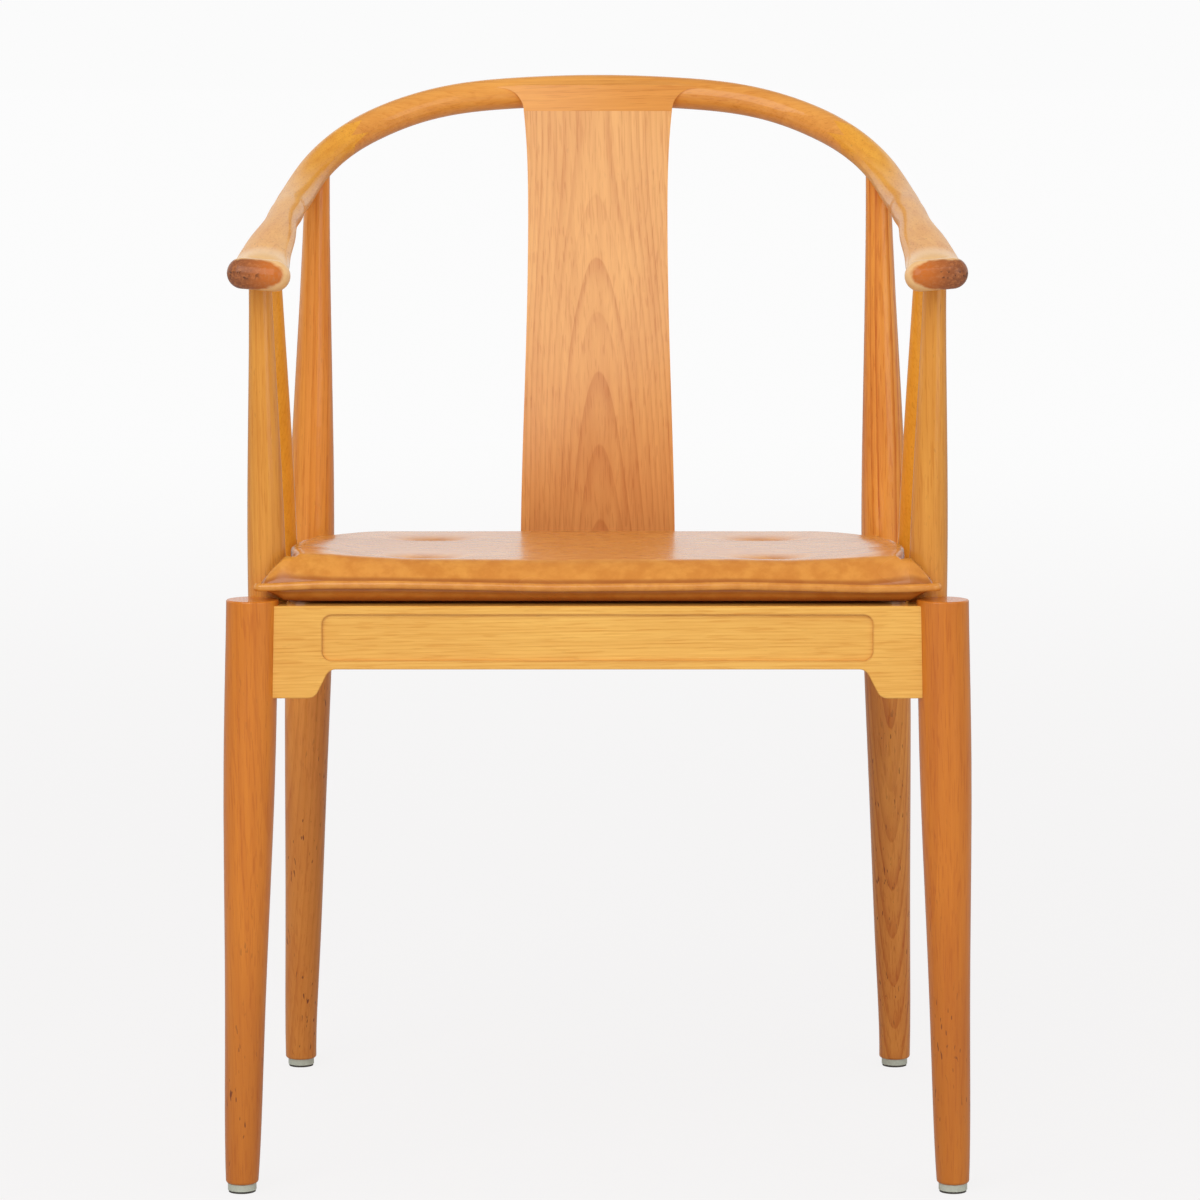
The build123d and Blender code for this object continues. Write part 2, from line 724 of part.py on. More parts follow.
panel = seat_panel()
front_block, front_block_screws, front_panel_screw = corner_block(True)
rear_block, rear_block_screws, rear_panel_screw = corner_block(False)
rear_block -= leg_loft(rear_line, rear_stations[2:6], panel_gap)
batten, batten_screws = side_batten()
panel_screws = [front_panel_screw, rear_panel_screw]
for one in front_block_screws + [front_panel_screw]:
    front_block -= one
for one in rear_block_screws + [rear_panel_screw]:
    rear_block -= one
for one in batten_screws:
    batten -= one
    side_rail -= one
side_rail -= front_block_screws[0]
side_rail -= rear_block_screws[0]
for sign_side in (False, True):
    for one in (front_block_screws[1], rear_block_screws[1]):
        turned_screw = mirrored(one) if sign_side else one
        front_rail -= turned_screw
        rear_rail -= turned_screw
    for one in panel_screws:
        panel -= mirrored(one) if sign_side else one

# ---------------------------------------------------------------- glides
def glide(foot):
    """Base, pad and nail under one foot; foot is the middle of its underside."""
    floor = Pos(foot.X, foot.Y, 0)
    seat = Pos(0, 0, pad_height - nail_head_height)
    nail = Cylinder(nail_head_radius, nail_head_height, align=on_base)
    nail = floor * seat * (nail + Cylinder(nail_radius, nail_length, align=on_base))
    pad = floor * Cylinder(pad_radius, pad_height, align=on_base) - nail
    disc = Cylinder(glide_base_radius, glide_base_height, align=on_base)
    disc = floor * Pos(0, 0, pad_height) * disc - nail
    return disc, pad, nail


glides = {}
for place_name, line in (("front", front_line), ("rear", rear_line)):
    glides[place_name] = glide(line(foot_height))
front_leg -= glides["front"][2]
rear_leg -= glides["rear"][2]

# ---------------------------------------------------------------- cushion
def cushion_plan(inset):
    """The cushion's outline seen from above, drawn in by a distance."""
    neck = post_x - post_foot_radius - cushion_air
    notch_front = post_back - post_foot_radius - ear_air
    notch_rear = post_back + post_foot_radius + notch_air
    right = [
        (0, inset - cushion_front),
        (ear_half - ear_run * inset, inset - cushion_front),
        (ear_half - ear_slant - ear_run * inset, notch_front - ear_shrink * inset),
        (neck - inset, notch_front - ear_shrink * inset),
        (neck - inset, notch_rear),
        (cushion_half - inset, notch_rear + notch_air),
        (cushion_half - inset, cushion_rear - inset),
        (0, cushion_rear - inset),
    ]
    with BuildSketch() as plan:
        with BuildLine():
            Polyline(*right, close=True)
        make_face()
        mirror(about=Plane.YZ)
    return plan.sketch


def cushion_layer(low, high, low_inset, high_inset, tilt=0.0):
    """A slice of the cushion with even sides; its top may lean down to the rear."""
    lower = Pos(0, 0, low) * cushion_plan(low_inset)
    upper = Pos(0, 0, high) * Rot(X=-tilt) * cushion_plan(high_inset)
    return seat_plane * loft([lower, upper], ruled=True)


cushion_rear = seat_back - rear_leg_radius - cushion_rear_gap
crown_tilt = degrees(atan2(crown_fall, cushion_rear))
seam_low = seam_lift - welt_diameter / 2
seam_high = seam_lift + welt_diameter / 2
skin = leather_thickness
inner_edge = seam_inset + skin
top_cover = cushion_layer(seam_high, crown_lift, seam_inset, crown_inset, crown_tilt)
bottom_cover = cushion_layer(cushion_air, seam_low, base_inset, seam_inset)
core = cushion_layer(cushion_air + skin, seam_low, base_inset + skin, inner_edge)
core += cushion_layer(seam_low, seam_high, inner_edge, inner_edge)
core += cushion_layer(seam_high, crown_lift - skin, inner_edge, crown_inset + skin, crown_tilt)
top_cover -= core
bottom_cover -= core
welt = cushion_layer(seam_low, seam_high, 0, 0) - core

ties = []
for sign in (-1, 1):
    for back in (tuft_front_back, tuft_rear_back):
        top = crown_lift - crown_fall * back / cushion_rear
        stem = Cylinder(tuft_thread_radius, top - cushion_air, align=on_base)
        ties.append(seat_plane * Pos(sign * tuft_half, back, cushion_air) * stem)
for tie in ties:
    top_cover -= tie
    bottom_cover -= tie
    core -= tie

# ---------------------------------------------------------------- writing the parts
def pair(name, right):
    return {name + "_right": right, name + "_left": mirrored(right)}


def group(solids):
    return Compound(children=[solid.solid() for solid in solids])


def both_sides(solids):
    return group(solids + [mirrored(one) for one in solids])


parts = {}
parts.update(pair("front_leg", front_leg))
parts.update(pair("rear_leg", rear_leg))
parts.update(pair("arm_post", arm_post))
parts.update(pair("arm_spindle", arm_spindle))
parts.update(pair("arm_rail", arm_rail))
parts.update(pair("side_seat_rail", side_rail))
parts.update(pair("corner_block_front", front_block))
parts.update(pair("corner_block_rear", rear_block))
parts.update(pair("panel_batten", batten))
for place_name, (disc, pad, nail) in glides.items():
    parts.update(pair("glide_base_" + place_name, disc))
    parts.update(pair("glide_pad_" + place_name, pad))
parts["crest_rail"] = crest_rail
parts["back_splat"] = splat
parts["front_seat_rail"] = front_rail
parts["rear_seat_rail"] = rear_rail
parts["seat_panel"] = panel
parts["corner_block_screws"] = both_sides(front_block_screws + rear_block_screws)
parts["batten_screws"] = both_sides(batten_screws)
parts["panel_screws"] = both_sides(panel_screws)
parts["glide_nails"] = both_sides([glides["front"][2], glides["rear"][2]])
parts["cushion_top_leather"] = top_cover
parts["cushion_bottom_leather"] = bottom_cover
parts["cushion_welt"] = welt
parts["cushion_core"] = core
parts["cushion_tuft_ties"] = group(ties)

os.makedirs("parts", exist_ok=True)
for name, solid in parts.items():
    export_step(solid, "parts/" + name + ".step")
    print(name, round(solid.volume, 1), len(solid.solids()))
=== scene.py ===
# %% [markdown]
# # Horseshoe back armchair
#
# A dining or desk chair in honey-coloured fruitwood. One round bar runs from arm
# end to arm end round the sitter's back, and carries a broad splat. A loose leather
# cushion lies on the seat. The solid parts come in finished from the construction
# model, so this lesson is about two things: the look of lacquered wood, and a
# leather cushion that swells between its seams and shines at a low angle.
#
# All sizes are metres. Z is up, and Y runs from the chair's front to its back.

# %% Load the frame
import math

import bmesh
import bpy
import numpy as np
from mathutils import Matrix, Vector, geometry


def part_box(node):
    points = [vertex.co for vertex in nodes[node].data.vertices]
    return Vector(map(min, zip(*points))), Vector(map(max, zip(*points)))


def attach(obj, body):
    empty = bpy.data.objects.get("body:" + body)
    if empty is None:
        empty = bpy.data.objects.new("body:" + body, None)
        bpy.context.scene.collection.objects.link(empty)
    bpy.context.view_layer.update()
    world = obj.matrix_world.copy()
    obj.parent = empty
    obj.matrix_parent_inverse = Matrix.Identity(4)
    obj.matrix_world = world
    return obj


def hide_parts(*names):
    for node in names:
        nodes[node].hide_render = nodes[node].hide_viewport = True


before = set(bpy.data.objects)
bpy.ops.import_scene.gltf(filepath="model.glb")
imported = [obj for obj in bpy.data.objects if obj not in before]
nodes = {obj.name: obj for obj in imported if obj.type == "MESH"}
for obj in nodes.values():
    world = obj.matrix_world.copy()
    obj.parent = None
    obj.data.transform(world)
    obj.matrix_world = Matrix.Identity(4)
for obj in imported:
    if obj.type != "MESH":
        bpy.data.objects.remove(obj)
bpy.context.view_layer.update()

# %% [markdown]
# ## Small helpers for materials
#
# A material is a graph of nodes. Adding each node by hand takes four or five lines,
# which hides what the graph does. These helpers add a node in one call: a value sets
# a socket, and another node's socket is linked to it. Nothing here is special to
# chairs.

# %% Helpers: nodes, sums and colour mixes
def connect(tree, value, socket):
    """Sets a socket to a plain value, or links another node's socket to it."""
    if isinstance(value, bpy.types.NodeSocket):
        tree.links.new(value, socket)
    else:
        socket.default_value = value


def add(tree, kind, settings=None, **inputs):
    """Adds a node. Input names have _ for each space."""
    made = tree.nodes.new(kind)
    for name, value in (settings or {}).items():
        setattr(made, name, value)
    for name, value in inputs.items():
        connect(tree, value, made.inputs[name.replace("_", " ")])
    return made


def calc(tree, operation, *values, clamp=False):
    """One Math node; gives its output socket."""
    made = add(tree, "ShaderNodeMath", {"operation": operation, "use_clamp": clamp})
    for value, socket in zip(values, made.inputs):
        connect(tree, value, socket)
    return made.outputs[0]


def squares(tree, first, second):
    """The sum of two squares."""
    return calc(tree, "ADD", calc(tree, "MULTIPLY", first, first),
                calc(tree, "MULTIPLY", second, second))


def step(tree, value, low, high):
    """0 below low, 1 above high and a smooth rise between them."""
    made = add(tree, "ShaderNodeMapRange", {"interpolation_type": "SMOOTHSTEP"},
               Value=value, From_Min=low, From_Max=high)
    return made.outputs[0]


def mix(tree, factor, low, high, way="MIX"):
    """Mixes two colours by a factor."""
    made = add(tree, "ShaderNodeMix", {"data_type": "RGBA", "blend_type": way})
    for value, index in ((factor, 0), (low, 6), (high, 7)):
        connect(tree, value, made.inputs[index])
    return made.outputs[2]


def stretched(tree, place, along):
    """Coordinates squeezed along Z, so that a texture is drawn out along the grain."""
    return add(tree, "ShaderNodeMapping", Vector=place, Scale=(1, 1, along)).outputs[0]


def noise(tree, place, scale, detail=2.0, rough=0.5):
    """A cloudy texture from 0 to 1."""
    made = add(tree, "ShaderNodeTexNoise", Vector=place, Scale=scale, Detail=detail,
               Roughness=rough)
    return made.outputs[0]


def place_of(tree):
    """The point's own place in the chair's frame, whole and split in X, Y and Z."""
    where = add(tree, "ShaderNodeTexCoord").outputs["Object"]
    return where, add(tree, "ShaderNodeSeparateXYZ", Vector=where).outputs


def new_group(name, inputs, outputs):
    """An empty node group. Inputs and outputs are (name, kind, value) rows."""
    tree = bpy.data.node_groups.new(name, "ShaderNodeTree")
    for label, kind, value in inputs:
        socket = tree.interface.new_socket(label, in_out="INPUT", socket_type="NodeSocket" + kind)
        if value is not None:
            socket.default_value = value
    for label, kind in outputs:
        tree.interface.new_socket(label, in_out="OUTPUT", socket_type="NodeSocket" + kind)
    given, out = tree.nodes.new("NodeGroupInput"), tree.nodes.new("NodeGroupOutput")
    return tree, given.outputs, out.inputs


# %% [markdown]
# ## The figure of the wood
#
# Wood is a stack of rings round the middle of the tree, drawn out along the trunk.
# A picture wrapped round a part would show a join where its ends meet, and would
# not change from face to face. A solid texture does both right: rings are worked
# out in space, and the part cuts through them, as a saw does. Straight lines come
# where the cut runs across the rings, and nested arches where it skims them.
#
# Four more things are laid over the rings: slow bands, fine fibre, broad clouds of
# tone, and the short dark gum flecks of fruitwood.

# %% Node group: wood_figure
def make_wood_figure():
    """The node group that draws rings, fibres and flecks."""
    tree, given, out = new_group(
        "wood_figure",
        [("Place", "Vector", None), ("Ring Size", "Float", 0.0035), ("Ring Depth", "Float", 0.5),
         ("Wander", "Float", 0.006), ("Fibre", "Float", 0.5), ("Flecks", "Float", 0.3),
         ("Light", "Color", (0.8, 0.4, 0.1, 1)), ("Dark", "Color", (0.5, 0.2, 0.04, 1)),
         ("Gum", "Color", (0.12, 0.03, 0.01, 1))],
        [("Color", "Color"), ("Height", "Float"), ("Dullness", "Float")],
    )
    place = given["Place"]
    long_place = stretched(tree, place, 0.12)
    sway = calc(tree, "SUBTRACT", noise(tree, long_place, 18.0, 1.5), 0.5)
    parts = add(tree, "ShaderNodeSeparateXYZ", Vector=place).outputs
    across = calc(tree, "SQRT", squares(tree, parts[0], parts[1]))
    across = calc(tree, "MULTIPLY_ADD", sway, given["Wander"], across)
    turns = calc(tree, "DIVIDE", across, given["Ring Size"])
    phase = calc(tree, "FRACT", turns)
    rise = calc(tree, "POWER", step(tree, phase, 0.30, 0.95), 1.6)
    ring = calc(tree, "MULTIPLY", rise, step(tree, phase, 1.0, 0.95))
    year = add(tree, "ShaderNodeTexWhiteNoise", {"noise_dimensions": "1D"},
               W=calc(tree, "FLOOR", turns)).outputs["Value"]
    ring = calc(tree, "MULTIPLY", ring, calc(tree, "MULTIPLY_ADD", year, 0.65, 0.35))
    bands = calc(tree, "SUBTRACT", noise(tree, stretched(tree, place, 0.045), 170.0, 2.0), 0.5)
    fibre = calc(tree, "SUBTRACT", noise(tree, stretched(tree, place, 0.03), 900.0, 2.5, 0.7), 0.5)
    pores = step(tree, noise(tree, stretched(tree, place, 0.05), 900.0, 0.5), 0.56, 0.68)
    cloud = calc(tree, "SUBTRACT", noise(tree, stretched(tree, place, 0.4), 16.0, 2.0), 0.5)
    shade = calc(tree, "MULTIPLY_ADD", ring, given["Ring Depth"], 0.28)
    shade = calc(tree, "MULTIPLY_ADD", bands, 0.7, shade)
    shade = calc(tree, "MULTIPLY_ADD", fibre, given["Fibre"], shade)
    shade = calc(tree, "MULTIPLY_ADD", pores, 0.26, shade)
    shade = calc(tree, "MULTIPLY_ADD", cloud, 0.7, shade, clamp=True)
    specks = step(tree, noise(tree, stretched(tree, place, 0.22), 520.0, 1.0), 0.66, 0.73)
    clumps = step(tree, noise(tree, stretched(tree, place, 0.5), 40.0, 1.0), 0.42, 0.62)
    specks = calc(tree, "MULTIPLY", calc(tree, "MULTIPLY", specks, clumps), given["Flecks"])
    colour = mix(tree, shade, given["Light"], given["Dark"])
    tree.links.new(mix(tree, specks, colour, given["Gum"]), out["Color"])
    height = calc(tree, "MULTIPLY_ADD", fibre, 0.8, calc(tree, "MULTIPLY", ring, 0.25))
    tree.links.new(height, out["Height"])
    dullness = calc(tree, "MULTIPLY_ADD", specks, 0.3, calc(tree, "MULTIPLY", shade, 0.12))
    tree.links.new(dullness, out["Dullness"])
    return tree


wood_figure = make_wood_figure()
print("node group:", wood_figure.name, len(wood_figure.nodes), "nodes")

# %% [markdown]
# ## Lacquered wood
#
# The chair's finish is a clear gloss lacquer. Under it the wood is fairly dull, and
# over it lies a thin hard coat, so the Principled shader's coat is the right tool:
# it keeps the colour of the wood deep and adds a sharp, weak reflection on top.
#
# Each kind of part is sawn with its grain along its length, so each material turns
# the coordinates until the grain lies along Z, then moves the middle of the tree to
# one side of the part. Near the middle the rings are tight curves, and far from it
# they are almost flat.

# %% Materials: lacquered wood for each kind of part
def srgb(red, green, blue):
    """A colour from the usual 0 to 255 values, as the linear values of a shader."""
    def line(value):
        share = value / 255
        return share / 12.92 if share < 0.04045 else ((share + 0.055) / 1.055) ** 2.4
    return (line(red), line(green), line(blue), 1.0)


quarter = math.radians(90)
grain_turns = {"up": (0, 0, 0), "forward": (quarter, 0, 0), "across": (0, -quarter, 0)}


def new_material(name):
    """An empty material: the material, its tree and its shader."""
    material = bpy.data.materials.new(name)
    material.use_nodes = True
    tree = material.node_tree
    return material, tree, tree.nodes["Principled BSDF"]


def grain_place(tree, grain, pith, lean=(0, 0, 0)):
    """Coordinates with the grain along Z and the middle of the tree at the pith."""
    to_pith = [-value for value in pith]
    moved = add(tree, "ShaderNodeMapping", Vector=place_of(tree)[0], Location=to_pith).outputs[0]
    turned = add(tree, "ShaderNodeMapping", Vector=moved, Rotation=grain_turns[grain]).outputs[0]
    return add(tree, "ShaderNodeMapping", Vector=turned, Rotation=lean).outputs[0]


def varnish(tree, shader, figure, coat, coat_rough, rough, bump):
    """Dullness and relief from the wood's figure, under a clear hard coat."""
    dull = calc(tree, "MULTIPLY_ADD", figure.outputs["Dullness"], 0.6, rough, clamp=True)
    tree.links.new(dull, shader.inputs["Roughness"])
    relief = add(tree, "ShaderNodeBump", Strength=bump, Distance=0.0004,
                 Height=figure.outputs["Height"])
    tree.links.new(relief.outputs[0], shader.inputs["Normal"])
    shader.inputs["Coat Weight"].default_value = coat
    shader.inputs["Coat Roughness"].default_value = coat_rough
    shader.inputs["Coat IOR"].default_value = 1.5
    shader.inputs["Specular IOR Level"].default_value = 0.2


def lacquered(name, grain, pith, light, dark, lean=(0, 0, 0), ring=0.0035, depth=0.5,
              wander=0.006, fibre=0.5, flecks=0.3, coat=0.6, rough=0.42, bump=0.03):
    """A lacquered wood material."""
    material, tree, shader = new_material(name)
    figure = add(tree, "ShaderNodeGroup", {"node_tree": wood_figure},
                 Place=grain_place(tree, grain, pith, lean), Ring_Size=ring, Ring_Depth=depth,
                 Wander=wander, Fibre=fibre, Flecks=flecks, Light=srgb(*light), Dark=srgb(*dark),
                 Gum=srgb(96, 42, 20))
    tree.links.new(figure.outputs["Color"], shader.inputs["Base Color"])
    varnish(tree, shader, figure, coat, 0.10, rough, bump)
    return material


def parts_of(material):
    """A material's tree, its shader and its coordinates, whole and split."""
    tree = material.node_tree
    return tree, tree.nodes["Principled BSDF"], *place_of(tree)


def feeding(socket):
    """The socket that feeds this one."""
    return socket.links[0].from_socket


wood = {}
wood["leg"] = lacquered("front_leg_wood", "up", (0.03, -0.42, 0), (224, 134, 38), (192, 98, 20),
                        lean=(0.02, 0.012, 0), ring=0.007, depth=0.24, wander=0.010, fibre=0.35)
wood["rear_leg"] = lacquered("rear_leg_wood", "up", (0.12, 0.33, 0), (244, 160, 66),
                             (210, 118, 36), lean=(0.035, -0.03, 0), ring=0.0045, depth=0.38,
                             wander=0.009, fibre=0.4)
wood["figured_leg"] = lacquered("figured_leg_wood", "up", (0.246, 0.112, 0), (250, 168, 72),
                                (202, 106, 30), lean=(0.035, 0.02, 0), ring=0.0050, depth=0.55,
                                wander=0.009, fibre=0.4)
wood["post"] = lacquered("arm_post_wood", "up", (0.10, -0.30, 0), (234, 162, 68), (202, 120, 36),
                         lean=(0.03, 0.02, 0), ring=0.004, depth=0.25, wander=0.008, fibre=0.4,
                         flecks=0.15)
# Painted light: the spindle's wood is painted lighter than the post's, to offset the shade it
# stands in behind the post.
wood["spindle"] = lacquered("spindle_wood_painted_lighter", "up", (-0.10, 0.0, 0), (252, 176, 58), (228, 146, 38),
                            lean=(0, 0.02, 0), ring=0.003, depth=0.25, fibre=0.4, flecks=0.15)
rail_look = {"ring": 0.0026, "depth": 0.36, "wander": 0.010, "fibre": 0.8, "flecks": 0.05}
wood["front_rail"] = lacquered("front_rail_wood", "across", (0, -0.30, 0.26), (252, 196, 98),
                               (222, 150, 56), lean=(0.01, 0.012, 0), **rail_look)
wood["rear_rail"] = lacquered("rear_rail_wood", "across", (0, 0.14, 0.20), (250, 192, 96),
                              (218, 146, 54), lean=(0.01, -0.012, 0), **rail_look)
wood["side_rail"] = lacquered("side_rail_wood", "forward", (0.03, 0, 0.28), (250, 192, 96),
                              (218, 146, 54), lean=(0.01, 0.01, 0), **rail_look)
wood["crest"] = lacquered("crest_wood", "across", (0, 0.32, 0.87), (246, 172, 80),
                          (212, 128, 44), lean=(0.012, 0.02, 0), ring=0.005, depth=0.2,
                          wander=0.008, fibre=0.4, flecks=0.05)
print("wood materials so far:", sorted(wood))

# %% [markdown]
# ## Legs and rails, two more touches
#
# Gum flecks crowd together in the lower half of the legs, where the wood comes from
# nearer the root. The group takes the amount of flecks as an input, so a ramp over
# the height drives it. On the rails, a thin dark line is painted round the sunk
# field: painted shade for the corner of its step, with some stain and polish
# gathered there too. That line is the distance to a rounded rectangle, worked out
# in the material from the rail's own size.

# %% Flecks toward the feet
def fleck_ramp(material, low, high, most):
    """More flecks below the low height, and few above the high one."""
    tree, shader, _, parts = parts_of(material)
    share = step(tree, parts[2], high, low)
    figure = next(node for node in tree.nodes if node.type == "GROUP")
    tree.links.new(calc(tree, "MULTIPLY_ADD", share, most, 0.12), figure.inputs["Flecks"])
    darker = mix(tree, calc(tree, "MULTIPLY", share, 0.35), feeding(shader.inputs["Base Color"]),
                 srgb(164, 88, 32))
    tree.links.new(darker, shader.inputs["Base Color"])


fleck_ramp(wood["leg"], 0.06, 0.26, 0.85)
fleck_ramp(wood["rear_leg"], 0.20, 0.42, 0.85)
fleck_ramp(wood["figured_leg"], 0.20, 0.42, 0.85)
print("flecks thicken below 0.26 m in front and 0.42 m behind")


# %% The painted shade line round the sunk field
field_corner, shade_line_half, shade_line_strength = 0.0073, 0.0011, 0.22
skin_deep = 0.0045


def painted_field_shade(material, axis, middle, half, face, slope=0.0):
    """Paints a thin line of shade along a rounded rectangle, in the outer skin of a rail."""
    tree, shader, _, parts = parts_of(material)
    along = calc(tree, "SUBTRACT", parts[axis], middle[0])
    up = calc(tree, "SUBTRACT", calc(tree, "MULTIPLY_ADD", along, slope, parts[2]), middle[1])
    far = [calc(tree, "SUBTRACT", calc(tree, "ABSOLUTE", value), size - field_corner)
           for value, size in ((along, half[0]), (up, half[1]))]
    out = [calc(tree, "MAXIMUM", value, 0.0) for value in far]
    reach = calc(tree, "SQRT", squares(tree, *out))
    within = calc(tree, "MINIMUM", calc(tree, "MAXIMUM", *far), 0.0)
    edge = calc(tree, "SUBTRACT", calc(tree, "ADD", reach, within), field_corner)
    edge = calc(tree, "ABSOLUTE", edge)
    line = calc(tree, "MULTIPLY", step(tree, edge, shade_line_half, 0.0003), shade_line_strength)
    skin = step(tree, calc(tree, "ABSOLUTE", parts[1 - axis]), face - skin_deep,
                face - skin_deep + 0.001)
    # Painted shade: the line's dark colour stands for the shade in the corner of the field's step,
    # with some stain gathered there.
    base = mix(tree, calc(tree, "MULTIPLY", line, skin), feeding(shader.inputs["Base Color"]),
               srgb(176, 98, 30))
    tree.links.new(base, shader.inputs["Base Color"])


front_low, front_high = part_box("front_seat_rail")
rear_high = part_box("rear_seat_rail")[1]
side_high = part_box("side_seat_rail_right")[1]
field_drop, field_rise, seat_fall = 0.02325, 0.01715, 0.0293
painted_field_shade(wood["front_rail"], 0, (0, front_high.z - field_drop), (0.2010, field_rise),
           -front_low.y)
painted_field_shade(wood["rear_rail"], 0, (0, rear_high.z - field_drop), (0.1867, field_rise),
           rear_high.y)
painted_field_shade(wood["side_rail"], 1, (-0.0426, 0.4081), (0.1585, field_rise), side_high.x, seat_fall)
print("front rail:", [round(value, 4) for value in (*front_low, *front_high)])

# %% [markdown]
# ## The splat
#
# The splat is one broad board, cut so that its face skims the rings. The eye reads
# it as nested arches up the middle with straight lines at the sides. The board is
# also bent, so rings that stay upright would be crossed too fast. The cure is to
# work out the rings in the board's own depth: each point is first moved forward or
# back by the bend at its height, and the middle of the tree then leans a little.

# %% Material: the splat's arches
bend_cubed, bend_squared, bend_straight, splat_foot = -2.121, 1.599, -0.0678, 0.0022


def make_splat_wood():
    """The splat's own wood: its arches follow the bent face, and its lower part is painted darker
    as shade.
    """
    material, tree, shader = new_material("splat_wood")
    parts = place_of(tree)[1]
    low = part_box("back_splat")[0]
    rise = calc(tree, "SUBTRACT", parts[2], low.z)
    bend = calc(tree, "MULTIPLY_ADD", rise, bend_cubed, bend_squared)
    bend = calc(tree, "MULTIPLY_ADD", rise, bend, bend_straight)
    face = calc(tree, "MULTIPLY_ADD", rise, bend, low.y + splat_foot)
    depth = calc(tree, "SUBTRACT", parts[1], face)
    climb = calc(tree, "MULTIPLY_ADD", step(tree, rise, 0.0, 0.40), 0.0160, 0.046)
    sway = calc(tree, "MULTIPLY_ADD", rise, -0.020, 0.004)
    side = calc(tree, "SUBTRACT", parts[0], sway)
    into = calc(tree, "ADD", depth, climb)
    flat = add(tree, "ShaderNodeCombineXYZ", X=side, Y=into, Z=rise).outputs[0]
    figure = add(tree, "ShaderNodeGroup", {"node_tree": wood_figure}, Place=flat, Ring_Size=0.0029,
                 Ring_Depth=0.45, Wander=0.0035, Fibre=0.3, Flecks=0.08,
                 Light=srgb(248, 187, 113), Dark=srgb(212, 136, 72), Gum=srgb(120, 58, 28))
    # Painted shade: the lower part of the splat is painted darker and deeper, as the bent board
    # there faces less of the light.
    lower_shade_colour = mix(tree, 1.0, figure.outputs["Color"], srgb(244, 222, 196), "MULTIPLY")
    with_lower_shade = mix(tree, step(tree, rise, 0.26, 0.0), figure.outputs["Color"], lower_shade_colour)
    tree.links.new(with_lower_shade, shader.inputs["Base Color"])
    varnish(tree, shader, figure, 0.5, 0.12, 0.42, 0.03)
    return material


wood["splat"] = make_splat_wood()

# %% [markdown]
# ## Arms with end grain
#
# Each arm ends in a knuckle, where the cut ends of the fibres come to the surface.
# They soak up finish and turn brown, with a row of dark pits near the outer tip. The
# change belongs to the same solid wood, so the arm's material mixes in a second
# figure inside an oval round the outer part of the knuckle.

# %% Material: arms
knuckle_side, knuckle_rise = 0.2490, 0.0125
oval_wide, oval_tall = 0.0235, 0.0112


def make_arm_wood():
    """The arms' wood, with end grain in an oval on the front of each knuckle, and a painted
    reflection on the top toward the front.
    """
    material = lacquered(
        "arm_wood", "forward", (0, 0, 0.50), (250, 180, 64), (220, 136, 38),
        lean=(0.03, 0.02, 0), ring=0.007, depth=0.18, wander=0.014, fibre=0.4, flecks=0.25)
    tree, shader, where, parts = parts_of(material)
    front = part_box("arm_rail_right")[0]
    ragged = calc(tree, "SUBTRACT", noise(tree, where, 150.0, 3.0), 0.5)
    wobble = calc(tree, "MULTIPLY", ragged, 0.5)
    outer = calc(tree, "SUBTRACT", calc(tree, "ABSOLUTE", parts[0]), knuckle_side)
    up = calc(tree, "SUBTRACT", parts[2], front.z + knuckle_rise)
    up = calc(tree, "DIVIDE", up, oval_tall)
    side = calc(tree, "DIVIDE", calc(tree, "MINIMUM", outer, 0.0), oval_wide)
    mask = step(tree, calc(tree, "ADD", squares(tree, up, side), wobble), 1.12, 0.80)
    at_front = step(tree, parts[1], front.y + 0.021, front.y + 0.016)
    mask = calc(tree, "MULTIPLY", mask, at_front)
    figure = noise(tree, where, 420.0, 4.0, 0.7)
    deep = calc(tree, "MULTIPLY_ADD", wobble, 0.01, outer)
    end = mix(tree, step(tree, deep, -0.016, 0.012), srgb(204, 110, 34), srgb(142, 82, 48))
    streaks = calc(tree, "MULTIPLY", step(tree, figure, 0.42, 0.70), 0.7)
    end = mix(tree, streaks, end, srgb(198, 122, 66))
    pits = step(tree, noise(tree, where, 330.0, 1.0), 0.55, 0.66)
    band = calc(tree, "MULTIPLY", step(tree, calc(tree, "ABSOLUTE", up), 0.38, 0.12),
                step(tree, outer, -0.008, -0.002))
    pits = calc(tree, "MULTIPLY", calc(tree, "MULTIPLY", pits, band), 0.85)
    end = mix(tree, pits, end, srgb(78, 42, 26))
    # Painted reflection: toward the front the top of each arm is painted paler, as the white
    # room's reflection; the coat is also made stronger there.
    near = step(tree, parts[1], front.y + 0.050, front.y + 0.018)
    near = calc(tree, "MULTIPLY", near, 0.65)
    front_sheen_painted = mix(tree, near, feeding(shader.inputs["Base Color"]), srgb(250, 212, 160))
    tree.links.new(mix(tree, mask, front_sheen_painted, end), shader.inputs["Base Color"])
    dull = calc(tree, "MULTIPLY_ADD", mask, 0.12, feeding(shader.inputs["Roughness"]), clamp=True)
    tree.links.new(dull, shader.inputs["Roughness"])
    gloss = calc(tree, "MULTIPLY_ADD", near, 0.75, 0.28)
    gloss = calc(tree, "MULTIPLY_ADD", mask, -0.35, gloss, clamp=True)
    tree.links.new(gloss, shader.inputs["Coat Weight"])
    return material


wood["arm"] = make_arm_wood()
print("wood materials:", sorted(wood))

# %% [markdown]
# ## Plain materials out of sight
#
# Blocks, battens and the seat panel are bare sanded wood. Screws and nails are
# zinc-plated steel, and the glides are moulded plastic. They are seen only from
# below, but each still gets its own grain, mottle or moulding marks.

# %% Materials: bare wood, steel and plastic
def make_bare_wood():
    """Sanded wood without any coat."""
    return lacquered(
        "bare_wood", "across", (0, 0, 0.7), (226, 184, 130), (190, 138, 84),
        ring=0.004, depth=0.4, coat=0.0, rough=0.7, bump=0.15)


